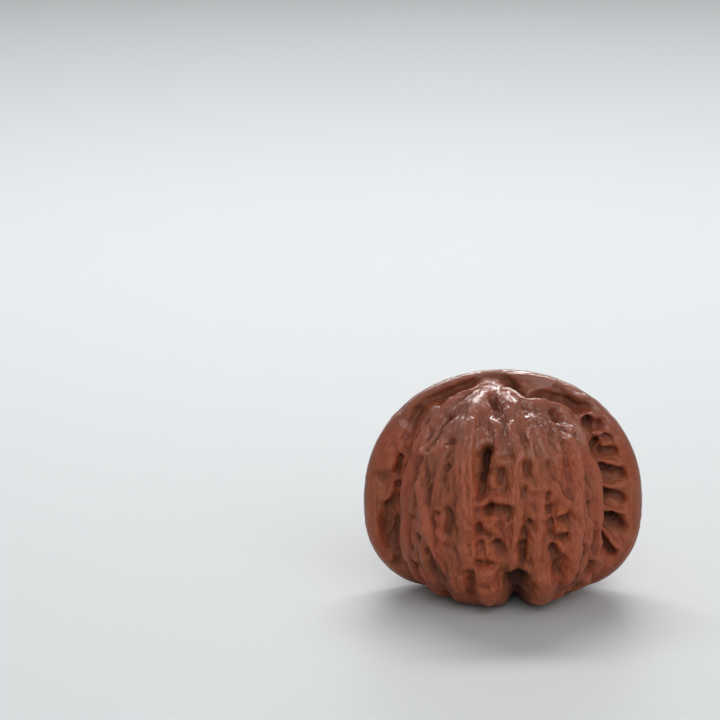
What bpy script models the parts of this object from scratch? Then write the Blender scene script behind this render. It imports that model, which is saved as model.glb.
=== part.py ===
"""A whole walnut with a wide seam rim, standing on its base.

The nut grew as one piece, so it is one solid. Its round form is a superellipsoid belly run together with a
thick disc, the seam rim. Ribs and pits are then drawn on that form as strokes: those of the front are placed
one by one, those of the back and the sides by a rule. Metres, +Z up, origin under the middle of the nut; the
rim lies in the XZ plane and the front faces -Y.
"""

import math
import random

import bmesh
import bpy
import numpy as np
from mathutils import Vector, noise
from mathutils.bvhtree import BVHTree

MM = 0.001

# Driving dimensions of the round form
WIDTH = 45.0 * MM  # across the seam rim
HEIGHT = 36.3 * MM  # from the foot to the top of the rim
THICKNESS = 36.0 * MM  # from belly to belly
WAIST = 15.0 * MM  # height of the widest line
RIM_HALF_THICKNESS = 3.0 * MM
BELLY_HALF_WIDTH = 15.9 * MM
BELLY_TOP = 34.1 * MM
RIM_FOOT = 16.6 * MM  # how far the curve of the rim's outline reaches below the waist
RIM_FOOT_CUT = 14.7 * MM  # where the outline is flattened before it gets there
RIM_FOOT_POWER = 24  # how tight the curve turns into the flat
BELLY_FOOT = 15.85 * MM  # and the belly
RIM_POWERS = (2.1, 2.6)  # roundness of the rim's outline above and below the waist, 2 being an ellipse
RIM_EDGE_POWER = 3.2  # how square the rim's edge is
BELLY_POWERS = (2.0, 2.75)  # the same for the belly's outline, seen from the front
BELLY_SIDE_POWERS = (2.35, 3.1)  # and for its outline seen from the side
FILLET = 1.2 * MM  # where the belly runs into the rim
FLAT = 0.35 * MM  # how deep the lobes are worn flat where they rest

# Mesh fineness
FORM_VOXEL = 0.5 * MM
RELIEF_VOXEL = 0.45 * MM
TRIANGLES = 11000

# The front view in which the front strokes are placed: an eye a little above the nut
EYE_DISTANCE = 600.0 * MM
EYE_ELEVATION = math.radians(17.0)
EYE_AIM = 17.0 * MM  # height that the eye looks at

# Strokes of the front: a path of (across, up) points in the front view, in millimetres from the foot of the
# nut's middle line, then the half width and the height or depth, in millimetres. Paths run downwards.
FRONT_RIBS = (
    # the broad left main rib, from the tip to the foot
    (((-2.2, 32.6), (-3.9, 29.7), (-5.4, 26.0), (-6.0, 22.0), (-6.1, 17.0), (-5.9, 11.0), (-5.7, 6.0),
      (-5.6, 1.5)), 1.5, 0.9),
    # and the flutes on it
    (((-2.4, 32.6), (-4.4, 29.6), (-6.2, 26.0), (-7.1, 22.0), (-7.2, 17.0), (-6.9, 11.0), (-6.6, 6.0),
      (-6.3, 2.0)), 0.45, 1.1),
    (((-2.2, 32.6), (-3.9, 29.7), (-5.4, 26.0), (-6.0, 22.0), (-6.1, 17.0), (-5.9, 11.0), (-5.7, 6.0),
      (-5.6, 1.5)), 0.45, 1.3),
    (((-2.0, 32.6), (-3.4, 29.8), (-4.5, 26.0), (-4.9, 22.0), (-5.0, 17.0), (-4.9, 11.0), (-4.7, 6.0),
      (-4.8, 1.5)), 0.45, 1.25),
    # the right main rib
    (((8.6, 28.6), (10.2, 25.5), (11.2, 21.0), (11.9, 16.0), (12.1, 10.5), (11.7, 6.0), (11.0, 2.0),
      (10.2, 0.0)), 0.95, 1.5),
    # ribs of the left side
    (((-11.6, 27.0), (-12.9, 22.5), (-13.4, 18.0), (-13.3, 14.0), (-12.4, 10.0), (-11.6, 7.0)), 0.8, 0.7),
    (((-10.2, 21.0), (-10.7, 17.0), (-11.3, 13.0)), 0.6, 0.5),
    (((-15.0, 23.2), (-15.2, 19.0), (-15.3, 15.0), (-16.0, 12.0), (-16.3, 8.5), (-16.1, 5.0),
      (-15.3, 2.2)), 0.7, 0.4),
    (((-12.9, 10.0), (-11.9, 7.8), (-11.2, 6.0), (-10.6, 3.0)), 0.6, 0.7),
    (((-10.9, 9.8), (-10.6, 7.6)), 0.35, 0.5),
    (((-9.7, 10.6), (-10.1, 7.6), (-9.4, 6.9)), 0.35, 0.5),
    # the rib between the two columns of pits
    (((0.8, 27.0), (1.4, 23.5), (2.7, 20.8), (2.0, 18.0), (1.8, 15.0), (2.5, 12.3), (2.2, 9.0),
      (1.7, 6.0), (1.7, 3.0), (0.9, 0.6)), 0.9, 0.8),
    # short ribs and bridges among the pits
    (((-1.9, 18.0), (-1.7, 16.4), (-1.4, 15.2)), 0.5, 0.9),
    (((-4.2, 12.0), (-2.8, 13.4), (-1.6, 13.7), (0.4, 13.2), (1.8, 12.4)), 0.7, 0.55),
    (((-2.4, 21.8), (-1.2, 20.3), (0.4, 19.8), (1.6, 20.0)), 0.8, 0.4),
    (((-3.2, 9.7), (-1.7, 9.3)), 0.7, 0.8),
    (((0.5, 10.2), (0.7, 8.8), (1.2, 7.6)), 0.5, 0.5),
    (((-2.4, 5.2), (-1.6, 4.3), (-0.6, 3.6)), 0.5, 0.7),
    (((6.3, 14.2), (6.4, 12.4), (6.4, 10.3), (5.6, 8.6), (5.1, 6.6), (5.4, 4.0), (5.9, 1.2)), 0.9, 0.7),
    (((8.2, 17.2), (8.9, 15.4), (10.2, 13.4), (11.6, 12.2)), 0.6, 0.6),
    (((4.6, 24.0), (4.4, 22.0), (5.2, 19.0), (5.8, 16.5)), 0.7, 0.5),
    (((3.4, 16.6), (4.6, 15.2), (5.8, 14.9)), 0.6, 0.5),
    (((9.0, 11.9), (9.4, 11.1)), 0.6, 0.8),
    (((8.8, 9.4), (9.3, 8.5)), 0.6, 0.9),
    (((9.0, 7.0), (10.2, 5.6), (10.8, 4.0)), 0.6, 0.6),
    (((-2.9, 1.6), (-3.6, 0.9)), 0.9, 0.4),
    # the lobes that the nut stands on
    (((-2.6, 3.0), (-2.5, 0.5), (-2.3, -1.0), (-2.2, -2.2), (-2.1, -2.7)), 1.7, 1.6),
    (((6.2, 2.0), (6.6, -0.4), (6.6, -1.4), (6.6, -2.4)), 1.6, 1.1),
    (((-7.2, 1.5), (-7.3, 0.0), (-7.0, -1.4)), 1.4, 0.5),
    # the shoulder lines that run together at the tip
    (((-2.0, 33.8), (-4.6, 31.9), (-7.4, 30.5), (-9.6, 29.0), (-12.0, 27.6)), 0.9, 1.1),
    (((-2.0, 33.8), (-0.2, 32.8), (1.4, 31.2), (3.0, 29.8), (6.2, 29.2), (9.6, 28.9), (11.4, 27.4),
      (12.8, 25.6)), 0.8, 1.0),
    (((-2.0, 33.4), (-2.2, 31.6), (-2.9, 29.6), (-3.2, 27.0)), 0.6, 0.5),
    (((-1.6, 33.0), (0.2, 31.0), (1.0, 29.4), (1.2, 27.4)), 0.6, 0.7),
    (((-6.6, 31.0), (-7.9, 29.4), (-8.9, 28.2)), 0.6, 0.4),
    # wrinkles that spread from the tip
    (((-2.6, 33.0), (-4.1, 31.3), (-5.9, 30.0), (-7.4, 28.6), (-8.9, 27.8), (-10.4, 26.6)), 0.35, 0.6),
    (((-2.5, 32.6), (-3.6, 30.8), (-4.6, 29.2), (-5.1, 27.6)), 0.35, 0.5),
    (((-1.6, 33.2), (-0.1, 32.2), (1.2, 31.0), (1.9, 29.8), (2.4, 28.5)), 0.45, 0.7),
    (((-1.8, 32.4), (-1.1, 31.3), (0.2, 29.8), (1.2, 28.5)), 0.35, 0.5),
    (((3.4, 27.2), (5.4, 27.0), (7.4, 26.4), (9.0, 26.0)), 0.45, 0.5),
    (((-9.8, 28.6), (-11.8, 27.2), (-13.4, 24.6)), 1.4, 1.2),
    (((-15.6, 22.2), (-14.4, 23.6), (-13.0, 25.0)), 0.8, 0.7),
    (((-15.6, 21.0), (-15.9, 18.6), (-15.6, 16.2)), 0.6, 0.5),
    # spokes across the right brim
    (((10.4, 30.9), (11.8, 30.9), (13.4, 30.3)), 0.5, 0.6),
    (((12.2, 27.8), (13.6, 27.9), (15.2, 27.5)), 0.5, 0.8),
    (((14.0, 25.2), (15.4, 25.0), (16.8, 24.9)), 0.5, 0.8),
    (((15.4, 23.2), (16.8, 22.9)), 0.4, 0.5),
    (((15.1, 20.6), (17.0, 20.2), (19.4, 19.9)), 0.55, 1.0),
    (((15.6, 16.4), (17.4, 16.2), (19.6, 16.6)), 0.6, 0.9),
    (((16.0, 13.4), (17.2, 12.6), (18.6, 12.3), (19.8, 12.6)), 0.55, 1.1),
    (((16.3, 9.9), (17.2, 8.0), (18.6, 6.2)), 0.6, 0.9),
    (((16.0, 5.4), (15.6, 3.4), (14.6, 2.2)), 0.45, 0.5),
    # lines along the left brim
    (((-16.9, 23.0), (-16.4, 21.0), (-16.2, 19.0)), 0.5, 0.5),
    (((-18.8, 22.6), (-18.2, 20.4), (-18.4, 18.4)), 0.8, 0.4),
    (((-20.3, 12.6), (-20.4, 10.0), (-19.9, 7.0)), 0.6, 0.6),
    (((-19.4, 13.4), (-18.2, 15.0), (-17.6, 16.8)), 0.5, 0.6),
)
FRONT_PITS = (
    # the long slit beside the left main rib
    (((-2.7, 21.9), (-3.1, 20.2), (-3.4, 18.4), (-3.5, 16.2)), 0.6, 4.6),
    (((-3.4, 17.2), (-3.6, 15.6), (-3.8, 13.4)), 0.6, 2.4),
    (((-3.0, 18.2), (-2.1, 17.9)), 0.5, 2.2),
    # the column of pits to its right
    (((-0.3, 17.9), (0.3, 15.6)), 0.8, 1.2),
    (((-2.1, 11.5), (-1.2, 12.1)), 0.75, 2.6),
    (((-0.6, 12.0), (1.2, 11.6)), 0.8, 1.2),
    (((-3.9, 9.0), (-3.2, 7.8), (-2.2, 7.6)), 0.7, 1.3),
    (((-0.7, 10.8), (-0.6, 8.6)), 0.5, 0.8),
    (((-1.0, 6.1), (-0.6, 5.4)), 0.8, 2.3),
    (((-3.5, 6.1), (-3.3, 5.4)), 0.8, 1.1),
    (((-3.4, 2.9), (-2.2, 2.9)), 0.8, 1.0),
    (((-2.9, 0.3), (-2.0, 0.2)), 0.6, 0.6),
    # the furrow that parts the two lobes
    (((3.6, 8.7), (3.8, 7.2)), 0.45, 2.2),
    (((4.6, 9.9), (5.1, 8.8)), 0.5, 1.8),
    (((3.3, 6.1), (3.4, 4.0)), 0.55, 1.9),
    (((3.3, 4.0), (3.1, 2.8), (2.8, 1.4)), 0.55, 1.1),
    (((2.6, 0.0), (2.5, -0.8), (2.4, -1.8)), 1.85, 3.6),
    (((-5.0, 2.0), (-4.9, 0.0), (-4.7, -1.8)), 0.6, 1.1),
    # the right column
    (((7.4, 14.5), (7.3, 13.0), (7.8, 11.8)), 0.45, 2.2),
    (((6.4, 14.5), (5.4, 14.2)), 0.35, 0.9),
    (((8.1, 12.5), (9.0, 12.5)), 0.4, 1.2),
    (((8.0, 10.4), (8.0, 9.2), (8.2, 7.8)), 0.42, 2.0),
    (((9.4, 10.3), (10.2, 10.4), (10.9, 11.0)), 0.6, 1.5),
    (((6.6, 9.9), (7.4, 9.6)), 0.5, 0.9),
    (((10.4, 7.9), (9.0, 7.4)), 0.5, 1.9),
    (((8.3, 5.9), (8.8, 4.0), (9.0, 1.9)), 0.8, 2.0),
    (((9.7, 15.2), (10.7, 13.9)), 0.4, 0.7),
    # shallower hollows higher up
    (((3.4, 19.6), (3.8, 18.0)), 0.6, 1.1),
    (((7.4, 19.7), (7.8, 18.3), (8.5, 17.2)), 0.6, 1.1),
    (((8.1, 24.8), (8.0, 23.2), (8.9, 21.6)), 0.6, 0.8),
    (((5.9, 21.4), (6.5, 19.4), (6.4, 17.6)), 0.4, 0.5),
    (((-1.8, 30.4), (-1.2, 29.0), (-0.7, 27.9)), 0.6, 1.6),
    (((-0.2, 27.0), (0.1, 25.4), (0.0, 23.8)), 0.45, 1.3),
    (((-0.9, 21.0), (0.3, 20.7)), 0.4, 0.5),
    (((10.9, 25.2), (11.2, 22.6)), 0.35, 0.5),
    # the left half of the belly
    (((-8.9, 23.4), (-8.3, 22.7)), 0.85, 1.1),
    (((-9.4, 27.4), (-10.1, 25.6)), 0.5, 1.0),
    (((-5.9, 28.0), (-6.3, 25.6)), 0.4, 0.6),
    (((-8.8, 21.3), (-9.7, 20.2)), 0.5, 0.7),
    (((-9.1, 18.9), (-9.4, 16.6), (-9.3, 14.9)), 0.7, 1.0),
    (((-12.3, 15.6), (-12.4, 13.4)), 0.5, 0.8),
    (((-14.3, 21.5), (-14.4, 17.5)), 0.4, 0.4),
    (((-7.8, 13.5), (-7.6, 11.0), (-7.7, 8.0)), 0.4, 0.6),
    (((-11.0, 11.4), (-10.3, 11.2)), 0.42, 1.6),
    (((-11.7, 10.7), (-11.2, 9.7)), 0.45, 1.7),
    (((-9.0, 11.3), (-8.8, 9.6), (-9.2, 8.4)), 0.9, 1.1),
    (((-8.9, 5.8), (-8.2, 5.7)), 0.5, 0.9),
    (((-15.3, 10.9), (-14.0, 10.6)), 0.4, 0.8),
    (((-13.9, 8.0), (-12.9, 6.9)), 0.9, 0.9),
    (((-12.2, 5.2), (-11.9, 4.0), (-11.8, 2.7)), 0.6, 1.5),
    (((-14.1, 3.2), (-13.4, 3.1)), 0.5, 0.6),
    (((-9.4, 3.2), (-8.8, 1.2)), 0.5, 0.6),
    # the crease outside the right main rib
    (((11.4, 24.8), (12.2, 21.4), (13.0, 18.6), (13.4, 15.8), (13.6, 12.9), (13.5, 10.5), (13.1, 8.2),
      (12.6, 5.4), (12.0, 2.5)), 0.45, 0.8),
    (((13.2, 5.6), (12.5, 3.0), (11.7, 0.8), (11.0, -0.6)), 0.9, 1.6),
    # where the left side narrows to the foot
    (((-11.4, 1.8), (-10.4, 0.4), (-9.6, -1.2)), 1.5, 1.2),
    # hollows between the belly's top and the rim
    (((-2.8, 34.2), (-4.4, 33.2), (-7.0, 32.0), (-10.0, 30.6), (-12.4, 29.4)), 1.0, 1.8),
    (((-1.4, 34.3), (0.4, 33.2), (2.0, 31.9), (4.0, 31.0), (7.4, 30.6), (10.2, 30.2)), 1.1, 2.2),
    (((1.8, 33.9), (4.4, 33.2), (7.0, 32.4)), 1.5, 0.7),
    (((8.8, 32.4), (9.4, 31.5)), 0.8, 1.0),
    (((-13.7, 27.9), (-14.3, 26.3)), 1.3, 1.6),
    (((-16.8, 28.6), (-16.2, 26.8)), 1.0, 0.45),
    # pits of the right brim, from the top down
    (((10.7, 29.8), (12.0, 29.0), (13.4, 28.9)), 0.75, 2.0),
    (((13.4, 26.9), (13.8, 26.0)), 0.7, 2.2),
    (((15.4, 26.6), (15.3, 25.9)), 0.6, 1.3),
    (((14.9, 23.5), (14.9, 22.3)), 0.6, 1.7),
    (((16.2, 24.4), (17.2, 23.9)), 0.5, 1.5),
    (((16.0, 22.0), (17.8, 21.9)), 0.65, 1.7),
    (((15.8, 19.2), (17.2, 18.6), (18.9, 18.4)), 0.85, 2.1),
    (((15.9, 17.6), (17.6, 17.4)), 0.6, 1.1),
    (((15.9, 15.4), (17.4, 14.8), (19.0, 14.3)), 0.75, 1.9),
    (((16.7, 11.3), (18.0, 11.0), (19.0, 9.6)), 0.95, 2.4),
    (((15.7, 9.2), (16.3, 7.4), (17.6, 5.8)), 0.7, 2.4),
    (((14.0, 5.2), (13.3, 3.9), (12.8, 3.0)), 0.6, 1.4),
    (((14.0, 14.6), (14.1, 12.6)), 0.4, 0.7),
    (((14.0, 11.2), (13.9, 9.8)), 0.45, 0.8),
    # hollows of the left brim
    (((-16.7, 20.9), (-16.9, 19.4), (-17.0, 18.0)), 0.4, 1.8),
    (((-16.9, 16.4), (-16.2, 16.2)), 0.6, 1.3),
    (((-20.6, 17.6), (-18.8, 17.2)), 1.1, 0.6),
    (((-18.6, 13.0), (-17.6, 13.6), (-16.6, 13.6)), 0.7, 1.2),
    (((-18.3, 12.4), (-18.5, 10.0), (-18.3, 7.8), (-17.9, 6.0)), 1.2, 1.5),
    (((-17.3, 11.0), (-17.2, 9.4), (-17.4, 7.4), (-17.1, 5.2), (-16.8, 3.8)), 0.7, 1.6),
)

# The smooth places between the folds: a path as above, half width, and how much smoother, from 0 to 1.
FRONT_CALM = (
    (((-4.2, 29.6), (-5.8, 26.0), (-6.2, 20.0), (-6.1, 11.0), (-5.7, 3.0)), 2.0, 0.8),
    (((8.6, 28.6), (11.2, 21.0), (12.0, 14.0), (11.6, 6.0), (10.4, 1.0)), 1.3, 0.7),
    (((2.6, 26.5), (4.6, 22.5), (4.4, 18.5)), 2.6, 0.55),
    (((8.4, 27.0), (8.2, 21.0)), 2.2, 0.5),
    (((1.9, 18.0), (2.2, 9.0), (1.6, 2.0)), 0.9, 0.6),
    (((-11.0, 27.4), (-6.4, 29.6), (-1.8, 31.4), (3.0, 29.4), (8.4, 28.2)), 2.6, 0.9),
)

# Furrows underneath that part the lobes: a path of (across, back) points seen from below, in millimetres,
# then half width and depth
UNDER_FURROWS = (
    (((2.4, -14.0), (2.2, -10.0), (0.8, -5.0)), 1.5, 2.6),
    (((-9.0, -11.0), (-4.5, -5.5)), 1.0, 1.2),
    (((9.6, -9.5), (5.0, -5.0)), 0.9, 1.2),
    (((-1.5, 15.0), (-0.8, 10.0), (0.0, 5.0)), 1.3, 2.2),
    (((9.5, 10.5), (5.0, 5.0)), 1.0, 1.3),
    (((-10.0, 9.5), (-5.0, 4.5)), 1.0, 1.3),
)

# The rule for the back and the sides. Longitudes are in degrees from the front's middle line, heights and
# sizes in millimetres; a pair is a least and a greatest value.
SEED = 3
BACK_RIBS = (118.0, 146.0, 171.0, 203.0, 232.0, 246.0)
SIDE_RIBS = (63.0, -66.0)
RIB_HALF_WIDTH = (0.8, 1.4)
RIB_HEIGHT = (0.8, 1.2)
RIB_SWAY = 3.5  # degrees
PIT_COLUMNS = (53.0, 71.0, 109.0, 132.0, 138.0, 158.5, 162.0, 181.0, 187.0, 194.0, 217.5, 224.0, 239.0, 255.0)
PIT_COLUMNS += (-74.0, -54.0)
COLUMN_TOP = 31.5
COLUMN_FOOT = 1.5
PIT_LENGTH = (1.2, 4.2)
PIT_GAP = (0.9, 1.8)
PIT_HALF_WIDTH = (0.45, 0.85)
PIT_DEPTH = (0.9, 2.5)
PIT_LEAN = 4.0  # degrees
BRIM_FROM, BRIM_TO, BRIM_STEP = -28.0, 208.0, 10.5  # degrees round the rim: the brim's pits and their spacing
BRIM_PIT = (0.755, 0.875)  # inner and outer end, as shares of the way out to the rim's edge
BRIM_SPOKE = (0.74, 0.88)
BRIM_SKEW = 3.0
BRIM_LONGEST = 4.0 * MM  # a longer pit would run up the belly
BRIM_HALF_WIDTH = (0.55, 0.95)
BRIM_DEPTH = (1.2, 2.4)
SPOKE_HALF_WIDTH = 0.5
SPOKE_HEIGHT = (0.5, 0.9)

# The skin between the strokes, in millimetres
FOLD_WIDTH, FOLD_LENGTH, FOLD_HEIGHT = 1.7, 8.5, 0.42
FOLD_SPREAD = 0.15  # 0 draws the folds together towards the tip and the foot, 1 keeps their width
TIP_LEAN = -2.1 * MM  # how far to one side the tip stands
FOLD_CREST = 0.32  # how wide the folds' crests are, as a level of the noise
CREASE_WIDTH, CREASE_LENGTH, CREASE_SHARE = 0.75, 4.5, 0.75
WANDER = ((2.4, 0.4), (0.8, 0.25))  # size and amount by which the strokes' outlines wander, coarse and fine
FOLD_WANDER = (3.5, 0.8)
BRIM_CALM = 0.55  # how much less they wander on the brim
BRIM_FROM_OUT, BRIM_TO_OUT = 0.7, 0.9  # where the belly gives way to the brim, as shares of the way out
LUMPS = (1.2, 0.24)  # size and height of the unevenness of the bellies
BRIM_LUMPS = (1.5, 0.5)  # the same for the brim
BRIM_WAVES = (3.2, 0.5)  # size and height of the unevenness of the rim's faces
SEAM = (0.45, 0.3)  # half width and depth of the fine groove along the rim's edge, where the halves meet
UNDERCUT = 0.4  # how far a pit runs up under its upper edge, as a share of its depth
FURROW = 0.28  # depth of the furrow beside a rib, as a share of the rib's height
LIP = 0.05  # height of the lip round a pit, as a share of the pit's depth
STROKE_REACH = 2.8  # half widths from a stroke's middle line at which it has died out
STEM_HOLLOW = (6.5, 2.4)  # half width and depth of the hollow underneath


def rounded(a, b, power):
    """The superellipse sum of two lengths given as shares: 1 is on the outline."""
    return (np.abs(a) ** power + np.abs(b) ** power) ** (1 / power)


def rim_outline(x, z):
    """How far out (x, z) lies in the rim's outline, z being counted from the waist: 1 is on it."""
    above = z > 0
    height = np.where(above, HEIGHT - WAIST, RIM_FOOT)
    curve = rounded(x / (WIDTH / 2), z / height, np.where(above, *RIM_POWERS))
    return rounded(curve, np.clip(-z, 0, None) / RIM_FOOT_CUT, RIM_FOOT_POWER)


def form_reach(ways):
    """How far the round form reaches from the middle of its waist in each unit direction."""
    x, y, z = ways.T
    rim = rounded(rim_outline(x, z), y / RIM_HALF_THICKNESS, RIM_EDGE_POWER)
    above = 0.5 + 0.5 * np.tanh(z / 0.25)
    front_power = BELLY_POWERS[1] + (BELLY_POWERS[0] - BELLY_POWERS[1]) * above
    side_power = BELLY_SIDE_POWERS[1] + (BELLY_SIDE_POWERS[0] - BELLY_SIDE_POWERS[1]) * above
    belly = rounded(x / BELLY_HALF_WIDTH, z / np.where(z > 0, BELLY_TOP - WAIST, BELLY_FOOT), front_power)
    belly = rounded(belly, y / (THICKNESS / 2), side_power)
    return (1 / rim + 1 / belly + np.sqrt((1 / rim - 1 / belly) ** 2 + FILLET**2)) / 2


def points_of(mesh):
    points = np.empty(len(mesh.vertices) * 3)
    mesh.vertices.foreach_get("co", points)
    return points.reshape(-1, 3)


def normals_of(mesh):
    normals = np.empty(len(mesh.vertices) * 3)
    mesh.vertices.foreach_get("normal", normals)
    return normals.reshape(-1, 3)


def bake(nut):
    """Replaces the object's mesh by what its modifiers make of it."""
    graph = bpy.context.evaluated_depsgraph_get()
    graph.update()
    made = bpy.data.meshes.new_from_object(nut.evaluated_get(graph))
    nut.modifiers.clear()
    old = nut.data
    nut.data = made
    bpy.data.meshes.remove(old)


def remeshed(nut, voxel, smoothing):
    """Gives the object's mesh even square faces of about one voxel, then relaxes it."""
    even = nut.modifiers.new("Even", "REMESH")
    even.mode = "VOXEL"
    even.voxel_size = voxel
    relax = nut.modifiers.new("Relax", "SMOOTH")
    relax.factor = 0.5
    relax.iterations = smoothing
    bake(nut)


def without_bubbles(nut):
    """Removes the closed bubbles that stay inside where the walls of a deep pit meet."""
    bm = bmesh.new()
    bm.from_mesh(nut.data)
    start = max(bm.verts, key=lambda vert: vert.co.z)
    skin = {start}
    ends = [start]
    while ends:
        vert = ends.pop()
        for edge in vert.link_edges:
            other = edge.other_vert(vert)
            if other not in skin:
                skin.add(other)
                ends.append(other)
    inside = [vert for vert in bm.verts if vert not in skin]
    bmesh.ops.delete(bm, geom=inside, context="VERTS")
    bm.to_mesh(nut.data)
    bm.free()


def round_form(voxel):
    """The nut without its ribs and pits."""
    bm = bmesh.new()
    bmesh.ops.create_icosphere(bm, subdivisions=6, radius=1.0)
    mesh = bpy.data.meshes.new("walnut")
    bm.to_mesh(mesh)
    bm.free()
    ways = points_of(mesh)
    ways /= np.linalg.norm(ways, axis=1, keepdims=True)
    places = ways * form_reach(ways)[:, None] + (0, 0, WAIST)
    mesh.vertices.foreach_set("co", places.ravel())
    nut = bpy.data.objects.new("walnut", mesh)
    bpy.context.scene.collection.objects.link(nut)
    remeshed(nut, voxel, 4)
    return nut


def smooth_path(points, step):
    """Points about one step apart on the Catmull-Rom curve through the given ones."""
    knots = [np.array(p, float) for p in points]
    knots = [2 * knots[0] - knots[1], *knots, 2 * knots[-1] - knots[-2]]
    path = []
    for a, b, c, d in zip(knots, knots[1:], knots[2:], knots[3:]):
        count = max(1, round(np.linalg.norm(c - b) / step))
        for k in range(count):
            t = k / count
            bend = (2 * a - 5 * b + 4 * c - d) * t**2 + (3 * b - a - 3 * c + d) * t**3
            path.append((2 * b + (c - a) * t + bend) / 2)
    path.append(knots[-2])
    return path


def seen_from_front(form, path):
    """Lays a path of the front view on the form, along the eye's rays."""
    up = Vector((0, math.sin(EYE_ELEVATION), math.cos(EYE_ELEVATION)))
    eye = Vector((0, -math.cos(EYE_ELEVATION), math.sin(EYE_ELEVATION))) * EYE_DISTANCE + up * EYE_AIM
    laid = []
    for across, rise in smooth_path(path, 0.5):
        aim = Vector((across * MM, 0, 0)) + up * rise * MM
        place = form.ray_cast(eye, (aim - eye).normalized())[0]
        if place is not None:
            laid.append(place)
    return laid


def seen_from_axis(form, path):
    """Lays a path of (degrees of longitude, height) points on the form, towards its middle line."""
    laid = []
    for longitude, height in smooth_path(path, 0.6):
        turn = math.radians(longitude)
        out = Vector((math.sin(turn), -math.cos(turn), 0))
        place = form.ray_cast(Vector((0, 0, height * MM)) + out * WIDTH, -out)[0]
        if place is not None:
            laid.append(place)
    return laid


def seen_from_below(form, path):
    """Lays a path of (across, back) points on the underside."""
    up = Vector((0, 0, 1))
    laid = [form.ray_cast(Vector((x * MM, y * MM, -HEIGHT)), up)[0] for x, y in smooth_path(path, 0.6)]
    return [place for place in laid if place is not None]


def brim_place(form, angle, share):
    """A point of the back's brim: its angle round the rim in degrees from +X and its share of the way out."""
    turn = math.radians(angle)
    way = np.array([math.cos(turn), math.sin(turn)])
    x, z = way * share / rim_outline(*way)
    return form.ray_cast(Vector((x, THICKNESS, z + WAIST)), Vector((0, -1, 0)))[0]


def back_ribs(form, draw):
    """The main ribs of the back and the sides, from top to foot."""
    ribs = []
    for longitude in (*BACK_RIBS, *SIDE_RIBS):
        start = draw.uniform(0, 6)
        heights = np.linspace(COLUMN_TOP + 1.5, COLUMN_FOOT - 1, 8)
        path = [(longitude + RIB_SWAY * math.sin(start + z / 6), z) for z in heights]
        ribs.append((seen_from_axis(form, path), draw.uniform(*RIB_HALF_WIDTH), draw.uniform(*RIB_HEIGHT)))
    return ribs


def back_pits(form, draw):
    """Columns of pits between the main ribs of the back and the sides."""
    pits = []
    for longitude in PIT_COLUMNS:
        height = COLUMN_TOP - draw.uniform(0, 2.5)
        while height > COLUMN_FOOT:
            length = draw.uniform(*PIT_LENGTH)
            top = longitude + draw.uniform(-3, 3)
            foot = top + draw.uniform(-PIT_LEAN, PIT_LEAN)
            path = ((top, height), (foot, max(height - length, COLUMN_FOOT)))
            half = draw.uniform(*PIT_HALF_WIDTH)
            depth = draw.uniform(*PIT_DEPTH) * min(1, half / 0.6)
            pits.append((seen_from_axis(form, path), half, depth))
            height -= length + draw.uniform(*PIT_GAP) + half
    return pits


def back_brim(form, draw):
    """The spokes and the pits between them on the brim of the back."""
    ribs = []
    pits = []
    angle = BRIM_FROM
    while angle < BRIM_TO:
        inner, outer = (share + draw.uniform(-0.02, 0.02) for share in BRIM_PIT)
        skew = draw.uniform(-BRIM_SKEW, BRIM_SKEW)
        ends = [brim_place(form, angle + skew, inner), brim_place(form, angle - skew, outer)]
        pit = (ends, draw.uniform(*BRIM_HALF_WIDTH), draw.uniform(*BRIM_DEPTH))
        if (ends[0] - ends[1]).length < BRIM_LONGEST:
            pits.append(pit)
        spoke = angle + BRIM_STEP / 2
        ends = [brim_place(form, spoke, BRIM_SPOKE[0]), brim_place(form, spoke + skew, BRIM_SPOKE[1])]
        ribs.append((ends, SPOKE_HALF_WIDTH, draw.uniform(*SPOKE_HEIGHT)))
        angle += BRIM_STEP * draw.uniform(0.8, 1.25)
    return ribs, pits


def all_strokes(form):
    """Every rib and every pit, each as (path laid on the form, half width, height or depth)."""
    draw = random.Random(SEED)
    ribs = [(seen_from_front(form, path), half, height) for path, half, height in FRONT_RIBS]
    pits = [(seen_from_front(form, path), half, depth) for path, half, depth in FRONT_PITS]
    pits += [(seen_from_below(form, path), half, depth) for path, half, depth in UNDER_FURROWS]
    ribs += back_ribs(form, draw)
    pits += back_pits(form, draw)
    spokes, brim_pits = back_brim(form, draw)
    return ribs + spokes, pits + brim_pits


def distance_to_path(points, path):
    """The distance of each point to a polyline, and how far along the polyline it lies, from 0 to 1."""
    nearest = np.full(len(points), np.inf)
    passed = np.zeros(len(points))
    for k, (a, b) in enumerate(zip(path, path[1:])):
        along = b - a
        share = np.clip((points - a) @ along / max(along @ along, 1e-12), 0, 1)
        distance = np.linalg.norm(points - a - share[:, None] * along, axis=1)
        passed = np.where(distance < nearest, (k + share) / (len(path) - 1), passed)
        nearest = np.minimum(nearest, distance)
    return nearest, passed


def rib_profile(share, passed):
    """Height across a rib, with a furrow along each side; share is the distance in half widths."""
    ends = np.clip(np.minimum(passed, 1 - passed) / 0.12, 0, 1) ** 0.7
    return ends * (np.exp(-(share**2.4)) - FURROW * np.exp(-(((share - 1.75) / 0.5) ** 2)))


def pit_profile(share, passed):
    """Depth across a pit, with a low lip round it. A pit is deepest at its upper end."""
    return (1.1 - 0.4 * passed) * np.exp(-(share**2.1)) - LIP * np.exp(-(((share - 1.55) / 0.4) ** 2))


def calm_profile(share, passed):
    return np.exp(-(share**4))


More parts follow.
